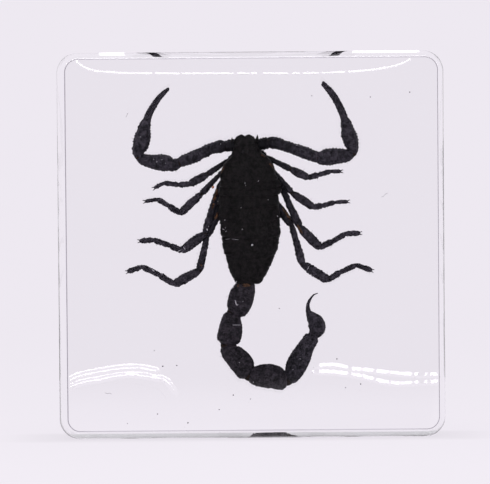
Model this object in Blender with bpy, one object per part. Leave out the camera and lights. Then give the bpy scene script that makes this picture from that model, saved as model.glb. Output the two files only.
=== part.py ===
"""Scorpion cast in a clear resin block: one fused specimen between the two pocketed parts of the block.

Metres, +Z up. The block stands on its lower edge and its front face looks along -Y.
The specimen lies spread in an upright plane behind the block's middle, with its back to the front.
"""

import math

import bpy
from mathutils import Vector

MM = 0.001

# Block
SIDE = 75.0  # width and height
THICKNESS = 25.0
CORNER_RADIUS = 4.0
CORNER_STEPS = 6
EDGE_RADIUS = 9.0  # the sides curve in towards the front face on this radius
EDGE_START = math.radians(57)  # angle between the face and the curve's normal where they meet
EDGE_STEPS = 5
BACK_BREAK = 0.4  # small bevel round the back face
PLANE_DEPTH = 16.5  # from the front face to the plane that the specimen lies in
PLANE_Y = PLANE_DEPTH - THICKNESS / 2
PARTING_GAP = 0.3  # between the two parts of the block, along that plane
POCKET_CLEARANCE = 0.35  # between the specimen and the resin

# Rings round the specimen's forms
BODY_SIDES = 16
LIMB_SIDES = 10
LEG_SIDES = 6
POCKET_BODY_SIDES = 10
POCKET_LIMB_SIDES = 6

# Trunk stations from the front of the carapace to the last body segment:
# height z, left edge x, right edge x, half depth, all in mm.
CARAPACE = [
    (58.9, -1.9, 1.3, 0.9),
    (58.3, -2.9, 2.3, 1.4),
    (57.2, -3.6, 2.9, 1.8),
    (55.6, -4.5, 3.6, 2.2),
    (53.6, -5.2, 4.1, 2.5),
    (51.4, -5.6, 4.5, 2.7),
]
# Body segments: z of the front edge, half width there, half depth at the rear edge.
TERGITES = [
    (50.3, 5.1, 2.8),
    (49.0, 5.4, 2.9),
    (47.4, 5.7, 3.0),
    (45.3, 5.9, 3.0),
    (42.6, 5.75, 3.0),
    (39.2, 5.5, 2.8),
    (35.6, 4.75, 2.4),
]
TRUNK_END = (30.0, 2.5, 1.6)
TRUNK_MIDDLE_X = -0.2
TRUNK_LEAN = 0.045  # sideways drift of the trunk's rear, mm for each mm below MIDDLE_Z
MIDDLE_Z = 40.0
TERGITE_FLARE = 0.25  # how far a rear edge stands over the next segment
TERGITE_LIP = 0.25

# Limb stations: x, z, half width in mm. Depth across the plane is a share of the half width.
LEFT_ARM = [
    (-1.8, 55.9, 1.3),
    (-3.8, 56.6, 1.4),
    (-5.0, 56.8, 1.05),
    (-6.7, 56.8, 1.35),
    (-8.7, 55.9, 1.4),
    (-11.1, 54.8, 1.3),
    (-13.7, 53.8, 1.0),
    (-15.2, 53.4, 0.95),
    (-16.4, 53.7, 1.5),
    (-18.1, 53.8, 1.5),
    (-20.0, 54.2, 1.2),
    (-21.4, 54.8, 1.05),
    (-21.8, 55.9, 1.1),
    (-21.3, 57.6, 1.6),
    (-20.9, 59.8, 1.4),
    (-20.1, 62.4, 0.8),
    (-18.8, 64.9, 0.55),
    (-17.1, 66.9, 0.43),
    (-15.6, 68.4, 0.2),
]
RIGHT_ARM = [
    (0.6, 56.4, 1.3),
    (2.0, 57.4, 1.2),
    (3.0, 57.4, 1.05),
    (4.3, 57.5, 1.2),
    (6.0, 57.3, 1.15),
    (8.4, 56.3, 1.15),
    (10.8, 55.5, 1.0),
    (12.8, 54.8, 0.9),
    (14.6, 54.7, 1.5),
    (17.4, 54.7, 1.35),
    (19.3, 55.0, 1.1),
    (20.2, 55.4, 1.0),
    (20.1, 56.4, 1.15),
    (19.7, 57.7, 1.5),
    (19.2, 59.2, 1.35),
    (18.6, 61.6, 0.8),
    (17.4, 64.8, 0.5),
    (15.7, 67.7, 0.42),
    (14.2, 69.2, 0.33),
]
ARM_DEPTH = 0.95
ARM_Y = 0.2
HAND_FIRST = 13  # index of the arm station where the hand is widest
FINGER_BACK = 0.9  # the movable finger lies this far behind the fixed one
FINGER_SHARE = 0.8

# Leg joints from the root under the trunk: trochanter, femur, patella, tibia, basitarsus, tip.
LEGS = {
    "left_leg_1": [
        (-2.2, 55.9), (-4.2, 54.7), (-8.4, 51.6), (-11.9, 49.6),
        (-14.0, 49.4), (-16.9, 49.8), (-18.8, 48.9),
    ],
    "left_leg_2": [
        (-3.4, 52.4), (-6.0, 50.8), (-9.6, 47.6), (-13.8, 43.8),
        (-16.1, 45.2), (-18.2, 46.6), (-20.6, 46.4),
    ],
    "left_leg_3": [
        (-3.7, 50.8), (-6.1, 49.1), (-8.8, 40.1), (-13.5, 36.5),
        (-15.7, 37.6), (-19.1, 38.7), (-21.7, 38.5),
    ],
    "left_leg_4": [
        (-4.4, 46.8), (-8.5, 39.4), (-10.2, 32.7), (-15.1, 29.8),
        (-18.1, 31.9), (-21.3, 33.6), (-24.2, 32.8),
    ],
    "right_leg_1": [
        (1.2, 56.0), (2.9, 54.8), (7.8, 52.2), (11.2, 50.6),
        (13.2, 51.2), (15.6, 51.8), (17.6, 51.7),
    ],
    "right_leg_2": [
        (2.2, 54.4), (3.9, 52.9), (8.3, 47.8), (12.2, 44.7),
        (14.0, 45.0), (16.4, 45.7), (18.9, 45.8),
    ],
    "right_leg_3": [
        (3.4, 51.0), (5.2, 49.6), (9.3, 41.1), (13.3, 36.8),
        (15.9, 38.2), (18.4, 39.7), (21.2, 39.7),
    ],
    "right_leg_4": [
        (3.9, 46.6), (7.5, 41.6), (10.0, 33.9), (14.8, 30.4),
        (17.4, 31.9), (20.5, 33.5), (23.4, 32.3),
    ],
}
LEG_Y = (1.4, 1.3, 0.3, 0.2, 0.6, 1.0, 1.3)  # how far behind the middle plane each joint lies
LEG_WIDTHS = (0.75, 0.7, 0.8, 0.52, 0.4, 0.33)  # widest half width of each stretch
LEG_JOINT = 0.68  # width at a joint, as a share of the wider stretch beside it
LEG_TIP = 0.12
LEG_DEPTH = 0.8
REAR_LEG_GIRTH = 1.15  # the third and fourth legs are stouter

TAIL = {
    "tail_1": [
        (-1.0, 31.0, 1.4), (-1.4, 29.3, 1.9), (-1.9, 27.7, 2.45),
        (-2.4, 26.2, 2.5), (-2.9, 25.0, 2.2), (-3.4, 24.0, 1.4),
    ],
    "tail_2": [
        (-3.4, 24.8, 1.0), (-3.9, 23.2, 1.7), (-4.2, 21.6, 2.2),
        (-4.4, 19.9, 2.35), (-4.6, 18.8, 2.1), (-4.6, 17.8, 1.3),
    ],
    "tail_3": [
        (-4.7, 18.8, 1.0), (-4.2, 17.0, 1.8), (-3.1, 15.6, 2.2),
        (-1.9, 14.1, 2.3), (-1.1, 13.1, 2.0), (-0.3, 12.3, 1.3),
    ],
    "tail_4": [
        (-1.2, 12.8, 1.0), (0.8, 12.0, 1.7), (2.4, 11.9, 2.2),
        (4.2, 11.8, 2.35), (6.0, 11.4, 2.15), (7.0, 11.1, 1.3),
    ],
    "tail_5": [
        (5.9, 11.2, 1.0), (7.3, 12.0, 1.6), (8.65, 13.75, 2.0), (9.6, 15.55, 2.0),
        (10.7, 17.55, 1.6), (11.7, 19.3, 1.25), (12.2, 20.3, 0.8),
    ],
    "sting": [
        (12.0, 19.6, 0.6),
        (12.5, 20.3, 1.3),
        (12.8, 21.4, 1.7),
        (12.6, 22.6, 1.55),
        (11.9, 23.6, 1.1),
        (11.3, 24.5, 0.6),
        (11.1, 25.3, 0.36),
        (11.2, 26.2, 0.27),
        (11.6, 27.0, 0.2),
        (12.2, 27.6, 0.13),
        (12.9, 27.95, 0.06),
    ],
}
TAIL_DEPTH = 0.9

JAWS = {
    "left_jaw": [(-1.1, 57.2, 0.8), (-1.3, 58.6, 0.75), (-1.2, 59.1, 0.45)],
    "right_jaw": [(0.5, 57.2, 0.8), (0.5, 58.6, 0.75), (0.4, 59.1, 0.45)],
}
COMBS = {  # the two feelers under the trunk, behind the last legs
    "left_comb": [(-0.6, 49.2, 0.5), (-2.4, 47.4, 0.75), (-4.2, 44.6, 0.4)],
    "right_comb": [(0.2, 49.2, 0.5), (1.9, 47.4, 0.75), (3.7, 44.6, 0.4)],
}
COMB_Y = 2.9
COMB_DEPTH = 0.55
# Slots between the trunk and the legs, too thin for resin of their own, opened in the pocket.
POCKET_SLOTS = {
    "left_slot": [(-6.2, 48.4, 0.3), (-6.5, 46.5, 0.5), (-6.9, 43.6, 0.6), (-7.0, 41.5, 0.4)],
    "right_slot": [(5.2, 51.2, 0.3), (5.3, 49.6, 0.4), (5.7, 47.2, 0.4), (5.9, 45.4, 0.3)],
}


def clear_scene():
    for old in list(bpy.data.objects):
        bpy.data.objects.remove(old, do_unlink=True)


def material(name, color, roughness, transmission=0.0, ior=1.5):
    made = bpy.data.materials.new(name)
    made.use_nodes = True
    shader = made.node_tree.nodes["Principled BSDF"]
    shader.inputs["Base Color"].default_value = (*color, 1.0)
    shader.inputs["Metallic"].default_value = 0.0
    shader.inputs["Roughness"].default_value = roughness
    shader.inputs["Transmission Weight"].default_value = transmission
    shader.inputs["IOR"].default_value = ior
    return made


def loft(name, rings, collection):
    """A closed solid through rings of equal length, each in mm, with flat ends."""
    points = [point * MM for ring in rings for point in ring]
    sides = len(rings[0])
    faces = [tuple(reversed(range(sides)))]
    for low in range(0, len(points) - sides, sides):
        for i in range(sides):
            j = (i + 1) % sides
            faces.append((low + i, low + j, low + sides + j, low + sides + i))
    faces.append(tuple(range(len(points) - sides, len(points))))
    mesh = bpy.data.meshes.new(name)
    mesh.from_pydata(points, [], faces)
    mesh.shade_smooth()
    mesh.set_sharp_from_angle(angle=math.radians(40))
    made = bpy.data.objects.new(name, mesh)
    collection.objects.link(made)
    return made


def ellipse(middle, across, deep, sides):
    """A ring that starts half a step off the plane, so that its widest sides are flat."""
    turns = [2 * math.pi * (i + 0.5) / sides for i in range(sides)]
    reach = 1 / math.cos(math.pi / sides)
    return [middle + reach * (across * math.cos(t) + deep * math.sin(t)) for t in turns]


def limb(name, stations, depth, sides, collection, grow=0.0):
    """A tapering tube through (x, y, z, half width), its rings square to the way it runs."""
    middles = [Vector((x, PLANE_Y + y, z)) for x, y, z, _ in stations]
    steps = [(b - a).normalized() for a, b in zip(middles, middles[1:])]
    middles[0] -= steps[0] * grow
    middles[-1] += steps[-1] * grow
    ways = [steps[0]] + [(a + b).normalized() for a, b in zip(steps, steps[1:])] + [steps[-1]]
    rings = []
    for middle, way, station in zip(middles, ways, stations):
        across = way.cross(Vector((0, 1, 0))).normalized()
        half = station[3]
        deep = way.cross(across).normalized() * (half * depth + grow)
        rings.append(ellipse(middle, across * (half + grow), deep, sides))
    return loft(name, rings, collection)


def level(stations, y):
    return [(x, y, z, half) for x, z, half in stations]


def trunk_stations():
    """(z, left x, right x, half depth) down the trunk, each segment flared over the next."""
    stations = list(CARAPACE)
    segments = TERGITES + [TRUNK_END]
    for (z, half, deep), (next_z, next_half, next_deep) in zip(segments, segments[1:]):
        for height, width, depth in (
            (z, half - TERGITE_FLARE, deep - TERGITE_FLARE),
            (next_z + TERGITE_LIP, next_half + TERGITE_FLARE, next_deep + TERGITE_FLARE / 2),
        ):
            middle = TRUNK_MIDDLE_X - TRUNK_LEAN * max(0.0, MIDDLE_Z - height)
            stations.append((height, middle - width, middle + width, depth))
    z, half, deep = TRUNK_END
    middle = TRUNK_MIDDLE_X - TRUNK_LEAN * (MIDDLE_Z - z)
    stations.append((z, middle - half + TERGITE_FLARE, middle + half - TERGITE_FLARE, deep))
    return stations


def trunk(name, sides, collection, grow=0.0):
    rings = []
    stations = trunk_stations()
    for index, (z, left, right, deep) in enumerate(stations):
        end = grow * ((index == 0) - (index == len(stations) - 1))
        middle = Vector(((left + right) / 2, PLANE_Y, z + end))
        across = Vector(((right - left) / 2 + grow, 0, 0))
        rings.append(ellipse(middle, -across, Vector((0, deep + grow, 0)), sides))
    return loft(name, rings, collection)


def leg_stations(joints, girth, plain):
    """Stations of one leg: narrow at each joint and swollen along each stretch, or plain between joints."""
    places = [Vector((x, y, z)) for (x, z), y in zip(joints, LEG_Y)]
    stations = [(*places[0], LEG_WIDTHS[0] * girth)]
    if plain:
        for start, end, wide in zip(places, places[1:], LEG_WIDTHS):
            stations.append((*start.lerp(end, 0.5), wide * girth))
            stations.append((*end, wide * girth * 0.9))
        return stations
    for index, (start, end) in enumerate(zip(places, places[1:])):
        wide = LEG_WIDTHS[index] * girth
        after = LEG_WIDTHS[min(index + 1, len(LEG_WIDTHS) - 1)] * girth
        last = index == len(LEG_WIDTHS) - 1
        stations.append((*start.lerp(end, 0.35), wide))
        stations.append((*start.lerp(end, 0.75), wide * 0.95))
        stations.append((*end, LEG_TIP if last else LEG_JOINT * max(wide, after)))
    return stations


def finger_stations(arm):
    """The movable finger: from inside the hand out to the fixed finger's tip, just behind it."""
    hand = arm[HAND_FIRST:]
    made = []
    for index, (x, z, half) in enumerate(hand):
        share = index / (len(hand) - 1)
        back = ARM_Y + FINGER_BACK * math.sin(math.pi * (0.35 + 0.6 * share))
        made.append((x, back, z, min(half, 0.8) * FINGER_SHARE))
    return made


def specimen_forms(collection, body_sides, limb_sides, leg_sides, grow=0.0):
    """Every form of the specimen but the trunk, for joining to it."""
    made = []
    for side, arm in (("left", LEFT_ARM), ("right", RIGHT_ARM)):
        made.append(limb(side + "_arm", level(arm, ARM_Y), ARM_DEPTH, limb_sides, collection, grow))
        made.append(limb(side + "_finger", finger_stations(arm), 1.0, leg_sides, collection, grow))
    for name, joints in LEGS.items():
        girth = REAR_LEG_GIRTH if name[-1] in "34" else 1.0
        made.append(limb(name, leg_stations(joints, girth, grow > 0), LEG_DEPTH, leg_sides, collection, grow))
    for name, stations in TAIL.items():
        made.append(limb(name, level(stations, 0.0), TAIL_DEPTH, limb_sides, collection, grow))
    for name, stations in JAWS.items():
        made.append(limb(name, level(stations, 0.0), 1.1, leg_sides, collection, grow))
    for name, stations in COMBS.items():
        made.append(limb(name, level(stations, COMB_Y), COMB_DEPTH, leg_sides, collection, grow))
    return made


def joined(name, parent, sides, grow=0.0):
    """The whole specimen as one solid, grown outwards where it serves as the pocket's cutter."""
    forms = bpy.data.collections.new(name + "_forms")
    parent.children.link(forms)
    made = specimen_forms(forms, *sides, grow)
    if grow:
        for slot, stations in POCKET_SLOTS.items():
            made.append(limb(slot, level(stations, ARM_Y), 1.0, sides[2], forms, grow))
    for form in made:
        form.hide_render = True
        form.display_type = "WIRE"
    made = trunk(name, sides[0], parent, grow)
    union = made.modifiers.new("join the limbs", "BOOLEAN")
    union.operation = "UNION"
    union.operand_type = "COLLECTION"
    union.collection = forms
    union.solver = "EXACT"
    return made


def rounded_square(y, inset):
    """One ring of the block's outline at depth y, drawn in from the full outline by inset."""
    radius = CORNER_RADIUS - inset
    reach = SIDE / 2 - CORNER_RADIUS
    ring = []
    for quarter, (sx, sz) in enumerate(((1, 1), (-1, 1), (-1, -1), (1, -1))):
        for step in range(CORNER_STEPS + 1):
            turn = math.pi / 2 * (quarter + step / CORNER_STEPS)
            x = sx * reach + radius * math.cos(turn)
            z = sz * reach + radius * math.sin(turn)
            ring.append(Vector((x, y, SIDE / 2 + z)))
    return ring


def resin_part(name, levels, clear, cutter, scene):
    """A part of the block through (y, inset) levels, with the specimen's pocket cut in it."""
    part = loft(name, [rounded_square(y, inset) for y, inset in levels], scene)
    part.data.materials.append(clear)
    pocket = part.modifiers.new("pocket", "BOOLEAN")
    pocket.operation = "DIFFERENCE"
    pocket.solver = "EXACT"
    pocket.object = cutter
    return part


def front_levels():
    """From the front face back along the curved edge to the parting plane."""
    face = -THICKNESS / 2
    levels = []
    for step in range(EDGE_STEPS + 1):
        turn = EDGE_START + (math.pi / 2 - EDGE_START) * step / EDGE_STEPS
        depth = EDGE_RADIUS * (math.cos(EDGE_START) - math.cos(turn))
        levels.append((face + depth, EDGE_RADIUS * (1 - math.sin(turn))))
    return levels + [(PLANE_Y - PARTING_GAP / 2, 0.0)]


def back_levels():
    face = THICKNESS / 2
    return [(PLANE_Y + PARTING_GAP / 2, 0.0), (face - BACK_BREAK, 0.0), (face, BACK_BREAK)]


def main():
    clear_scene()
    scene = bpy.context.scene.collection
    cuticle = material("black cuticle", (0.014, 0.012, 0.011), 0.42)
    resin = material("clear cast resin", (0.94, 0.95, 0.97), 0.03, transmission=1.0, ior=1.54)
    scorpion = joined("scorpion", scene, (BODY_SIDES, LIMB_SIDES, LEG_SIDES))
    scorpion.data.materials.append(cuticle)
    pocket_sides = (POCKET_BODY_SIDES, POCKET_LIMB_SIDES, POCKET_LIMB_SIDES)
    cutter = joined("pocket_form", scene, pocket_sides, POCKET_CLEARANCE)
    cutter.hide_render = True
    cutter.display_type = "WIRE"
    resin_part("resin_front", front_levels(), resin, cutter, scene)
    resin_part("resin_back", back_levels(), resin, cutter, scene)


main()
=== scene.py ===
"""A scorpion cast in a square block of clear resin, on a pale floor in soft studio light."""

import math

import bmesh
import bpy
import numpy as np
from mathutils import Matrix, Vector, noise
from mathutils.bvhtree import BVHTree
from mathutils.geometry import delaunay_2d_cdt


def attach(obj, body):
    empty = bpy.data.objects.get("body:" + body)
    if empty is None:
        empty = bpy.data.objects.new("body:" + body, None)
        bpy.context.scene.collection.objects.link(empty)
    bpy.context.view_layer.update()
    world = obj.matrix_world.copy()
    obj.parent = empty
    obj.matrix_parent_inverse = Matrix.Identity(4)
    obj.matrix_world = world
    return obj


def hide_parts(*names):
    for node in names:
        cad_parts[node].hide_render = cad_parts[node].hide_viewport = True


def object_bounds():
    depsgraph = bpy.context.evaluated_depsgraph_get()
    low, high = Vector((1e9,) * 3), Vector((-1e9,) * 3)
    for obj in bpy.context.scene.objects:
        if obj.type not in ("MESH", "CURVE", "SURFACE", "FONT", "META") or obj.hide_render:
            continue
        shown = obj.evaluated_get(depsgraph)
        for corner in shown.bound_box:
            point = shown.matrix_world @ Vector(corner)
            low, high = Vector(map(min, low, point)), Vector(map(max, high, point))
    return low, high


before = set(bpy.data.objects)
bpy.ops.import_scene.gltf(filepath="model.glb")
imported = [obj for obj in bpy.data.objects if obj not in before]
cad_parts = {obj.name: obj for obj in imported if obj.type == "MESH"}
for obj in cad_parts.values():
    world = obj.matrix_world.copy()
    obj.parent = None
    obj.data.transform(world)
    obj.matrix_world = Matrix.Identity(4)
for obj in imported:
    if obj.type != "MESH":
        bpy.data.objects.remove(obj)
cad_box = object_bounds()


# ---- The resin block ----
# One casting of clear polyester, poured round the specimen in a square mould with rounded corners,
# then ground and polished. The sides curve in towards the front face, the back edge is only broken,
# and the face keeps low ridges where the resin poured last stood against the mould's lid.

MM = 0.001  # every size is in millimetres
low, high = (np.array(corner) / MM for corner in cad_box)
BLOCK_SIDE = high[0] - low[0]
BLOCK_MIDDLE = BLOCK_SIDE / 2
BLOCK_FRONT, BLOCK_BACK = low[1], high[1]
CORNER_RADIUS, SMALLEST_RADIUS = 4.0, 0.6  # the corners get sharper as the outline is drawn in
CORNER_STEPS, SIDE_STEPS = 14, 150
DEPTH_ROWS = 5
BACK_BREAK, BACK_BREAK_STEPS = 0.4, 6
# The curve from the sides to the front face: it stops steep of the face, at a small polished
# rounding, and the disc left a fine scratch on the face beside that. It's blunter along the top.
# (radius, angle of the curve's normal to the face's where it stops, and where it meets the side).
TOP_CURVE = (8.45, math.radians(59), math.radians(80))
BOTTOM_CURVE = (12.5, math.radians(64.5), math.radians(90))
CURVE_STEPS = 22
ROUNDING, ROUNDING_STEPS = 0.42, 6
ROUNDING_START = math.radians(10)
SCRATCH = ((0.01, 0.03), (0.07, 0.1), (0.1, 0.1), (0.17, 0.0))  # (on from the rounding, depth)
FACE_SHIFT = (0.24, 0.1)  # the face was ground a little to the right and up
# The ridges in the face. Each has a long upper flank and a short lower one, and is broken in places:
# (width of the upper flank, how much steeper its middle is, how often it's broken, (x, z) along the crest).
RIDGES = (
    (0.31, 1.0, 0.86, [
        (-34.2, 73.6), (-32.2, 72.1), (-29.9, 71.3), (-27.0, 71.0), (-15.4, 70.7), (0.0, 70.6),
        (15.5, 70.6), (25.2, 71.3), (29.0, 72.1), (32.1, 73.6),
    ]),
    (1.06, 1.8, 0.0, [
        (-36.4, 10.4), (-35.1, 11.5), (-33.2, 12.3), (-30.3, 12.9), (-27.4, 13.4), (-24.6, 13.7),
        (-21.7, 13.7), (-18.8, 13.2),
    ]),
    (0.92, 1.8, 0.2, [
        (-36.4, 8.9), (-35.4, 10.0), (-33.2, 10.95), (-29.4, 11.6), (-26.5, 12.2), (-23.6, 12.45),
        (-20.7, 12.2), (-18.6, 11.8), (-17.1, 11.5), (-16.1, 10.6), (-15.3, 9.4),
    ]),
    (0.74, 1.0, 0.92, [
        (12.3, 13.75), (15.9, 13.95), (19.1, 13.2), (22.5, 12.85), (25.8, 12.45), (30.0, 12.05), (36.5, 11.9),
    ]),
    (0.74, 1.0, 0.92, [
        (12.0, 12.7), (16.2, 12.5), (20.0, 11.9), (23.1, 11.25), (25.4, 10.6), (27.6, 10.3), (32.0, 10.4),
        (36.5, 10.6),
    ]),
)
FLANK_SLOPE = 0.22  # rise over run along most of a flank
FLANK_KNOTS = (0, 0.1, 0.26, 0.32, 0.68, 0.74, 0.9, 1)  # shares of its width where the slope changes
LOWER_FLANK = 0.42  # width of the lower flank as a share of the upper one's
BREAK_SPACING = 0.9  # between one place where a ridge may be broken and the next
BREAK_FROM, BREAK_EDGE = 0.2, 10  # how high the noise stands at a break, and how sharp the break's ends are
CREST_STEP = 0.22  # between the rows of points along a ridge
# Where the rows of points lie across a ridge, as shares of the flank they're on.
UPPER_ROWS = (0.0, 0.05, 0.1, 0.18, 0.26, 0.29, 0.32, 0.5, 0.68, 0.71, 0.74, 0.82, 0.9, 0.95, 1.0, 1.2)
LOWER_ROWS = (0.2, 0.4, 0.6, 0.8, 1.0, 1.4)
RIM_MARGIN = 0.2  # between the face's rim and the nearest ridge
CLEAR = {"IOR": 1.54, "Transmission_Weight": 1.0}  # light goes through all of the resin
SIDE_SHADE_FROM = (31.0, 36.0)  # the scratch's painted shade deepens between these distances from the middle, towards the sides


def linear(hex_colour):
    """An sRGB hex colour as a shader takes it: linear red, green and blue, then 1 for full cover."""
    shares = [int(hex_colour[i : i + 2], 16) / 255 for i in (1, 3, 5)]
    return [s / 12.92 if s <= 0.04045 else ((s + 0.055) / 1.055) ** 2.4 for s in shares] + [1]


def add(tree, kind, settings=None, **inputs):
    """A node of that kind, with its settings, and its inputs given as values or linked from sockets or
    from nodes' first sockets. An input's number stands after a low line.
    """
    made = tree.nodes.new(kind)
    for key, value in (settings or {}).items():
        setattr(made, key, value)
    for key, value in inputs.items():
        socket = made.inputs[int(key[1:]) if key[0] == "_" and key[1:].isdigit() else key.replace("_", " ")]
        if isinstance(value, bpy.types.Node):
            value = value.outputs[0]
        if isinstance(value, bpy.types.NodeSocket):
            tree.links.new(value, socket)
        else:
            socket.default_value = value
    return made


def new_material(name):
    """An empty material and its node tree."""
    made = bpy.data.materials.new(name)
    made.use_nodes = True
    made.node_tree.nodes.clear()
    return made, made.node_tree


def sideways(tree, near, far, least=0.0, most=1.0, middle=0.0):
    """A node whose value goes from least to most between two distances to either side of the middle."""
    place = add(tree, "ShaderNodeTexCoord").outputs["Object"]
    x = add(tree, "ShaderNodeSeparateXYZ", Vector=place).outputs["X"]
    off = add(tree, "ShaderNodeMath", {"operation": "SUBTRACT"}, _0=x, _1=middle * MM)
    away = add(tree, "ShaderNodeMath", {"operation": "ABSOLUTE"}, _0=off)
    return add(
        tree, "ShaderNodeMapRange",
        Value=away, From_Min=near * MM, From_Max=far * MM, To_Min=least, To_Max=most,
    )


class Shape:
    """Points in millimetres and the faces between them, each face with its material's number."""

    def __init__(self):
        self.points, self.faces, self.paints = [], [], []

    def add(self, points, faces, paint=0):
        first = len(self.points)
        self.points.extend(tuple(p) for p in points)
        self.faces.extend(tuple(first + i for i in face) for face in faces)
        self.paints.extend([paint] * len(faces))

    def finish(self, name, *materials, smooth_below=None, flat=False):
        """The shape as an object, smooth where its faces meet at less than that angle, or else all over."""
        mesh = bpy.data.meshes.new(name)
        mesh.from_pydata([Vector(p) * MM for p in self.points], [], self.faces)
        mesh.validate()
        if not flat:
            mesh.shade_smooth()
        if smooth_below:
            mesh.set_sharp_from_angle(angle=math.radians(smooth_below))
        for material in materials:
            mesh.materials.append(material)
        mesh.polygons.foreach_set("material_index", self.paints)
        made = bpy.data.objects.new(name, mesh)
        bpy.context.scene.collection.objects.link(made)
        return made


def ring_faces(rings, sides, first=0, turned=False):
    """Faces between rings of that many points each, counted from the first point on."""
    faces = []
    for start in range(first, first + (rings - 1) * sides, sides):
        for i in range(sides):
            j = (i + 1) % sides
            a, b, c, d = start + i, start + sides + i, start + sides + j, start + j
            faces.append((a, d, c, b) if turned else (a, b, c, d))
    return faces


def spline(stations, spacing):
    """Rows about that far apart along a smooth line through given rows, which each start with a place."""
    given = np.array(stations, dtype=float)
    reach = np.concatenate(([0.0], np.cumsum(np.linalg.norm(np.diff(given[:, :3], axis=0), axis=1))))
    slopes = np.gradient(given, reach, axis=0)
    rows = []
    for at in np.linspace(0, reach[-1], max(2, round(reach[-1] / spacing)) + 1):
        i = min(int(np.searchsorted(reach, at, side="right")) - 1, len(reach) - 2)
        span = reach[i + 1] - reach[i]
        t = (at - reach[i]) / span
        rows.append(
            given[i] * (2 * t**3 - 3 * t**2 + 1)
            + given[i + 1] * (3 * t**2 - 2 * t**3)
            + span * (slopes[i] * (t**3 - 2 * t**2 + t) + slopes[i + 1] * (t**3 - t**2))
        )
    return np.array(rows)


def block_outline(inset):
    """Points round the block's outline, drawn in by inset, with the corners kept round."""
    radius = max(CORNER_RADIUS - inset, SMALLEST_RADIUS)
    reach = BLOCK_MIDDLE - inset - radius
    ring = []
    for quarter, (sx, sz) in enumerate(((1, 1), (-1, 1), (-1, -1), (1, -1))):
        for step in range(CORNER_STEPS):
            turn = math.pi / 2 * (quarter + step / (CORNER_STEPS - 1))
            ring.append((sx * reach + radius * math.cos(turn), sz * reach + radius * math.sin(turn)))
        ahead = math.pi / 2 * (quarter + 1)
        start = np.array(ring[-1])
        along = np.array((-math.sin(ahead), math.cos(ahead))) * 2 * reach
        ring.extend(tuple(start + along * step / SIDE_STEPS) for step in range(1, SIDE_STEPS))
    return np.array(ring) + (0.0, BLOCK_MIDDLE)


def distance_to_line(points, line):
    """The distance of each point from a line through the given corners, less than 0 on its right."""
    nearest = np.full(len(points), np.inf)
    for start, end in zip(np.array(line), np.array(line)[1:]):
        way = end - start
        share = np.clip(((points - start) @ way) / (way @ way), 0, 1)
        beside = points - start - share[:, None] * way
        side = np.where(way[0] * beside[:, 1] < way[1] * beside[:, 0], -1, 1)
        away = np.linalg.norm(beside, axis=1) * side
        nearest = np.where(np.abs(away) < np.abs(nearest), away, nearest)
    return nearest


def crest(line):
    """(x, z) at even steps along a smooth line through the given corners."""
    return spline([(x, 0.0, z) for x, z in line], CREST_STEP)[:, (0, 2)]


def flank(share, steeper):
    """The height of a flank at a share of its width from the crest, where its mean slope is near 1."""
    at = np.linspace(0, 1, 101)
    slope = np.interp(at, FLANK_KNOTS, (0, 1, 1, steeper, steeper, 1, 1, 0))
    return np.interp(share, at, slope[::-1].cumsum()[::-1] / 100)


def ridge_heights(points):
    """How far the front face stands out at each point."""
    heights = np.zeros(len(points))
    for width, steeper, broken, line in RIDGES:
        away = distance_to_line(points, crest(line))
        share = np.minimum(np.where(away < 0, -away / (width * LOWER_FLANK), away / width), 1)
        rise = FLANK_SLOPE * width * flank(share, steeper)
        for i in np.nonzero(share < 1)[0]:
            swell = noise.noise((points[i][0] / BREAK_SPACING, 0.5, width * 7.3 + 0.4))
            rise[i] *= 1 - broken * min(1.0, max(0.0, BREAK_EDGE * (swell - BREAK_FROM)))
        heights = np.maximum(heights, rise)
    return heights


def front_edge(radius, stop, end):
    """(depth behind the face, inset) from the face's rim out to the straight side."""
    start = radius * (math.sin(end) - math.sin(stop))
    rim = start + ROUNDING * (math.sin(stop) - math.sin(ROUNDING_START))
    profile = [(depth, rim + beside) for beside, depth in reversed(SCRATCH)]
    depth = SCRATCH[0][1]
    for turn in np.linspace(ROUNDING_START, stop, ROUNDING_STEPS):
        inset = start + ROUNDING * (math.sin(stop) - math.sin(turn))
        profile.append((depth + ROUNDING * (math.cos(ROUNDING_START) - math.cos(turn)), inset))
    depth = profile[-1][0]
    for turn in np.linspace(stop, end, CURVE_STEPS)[1:]:
        inset = radius * (math.sin(end) - math.sin(turn))
        profile.append((depth + radius * (math.cos(stop) - math.cos(turn)), inset))
    return profile


def edge_rings():
    """Rings of the front edge, blended from the bottom's profile to the top's."""
    bottom, top = front_edge(*BOTTOM_CURVE), front_edge(*TOP_CURVE)
    rings = []
    for (low_depth, low_inset), (high_depth, high_inset) in zip(bottom, top):
        ring = []
        for a, b in zip(block_outline(low_inset), block_outline(high_inset)):
            share = a[1] / BLOCK_SIDE
            x, z = a * (1 - share) + b * share + np.array(FACE_SHIFT) * min(1.0, high_inset / top[0][1])
            ring.append((x, BLOCK_FRONT + low_depth * (1 - share) + high_depth * share, z))
        rings.append(ring)
    return rings


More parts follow.
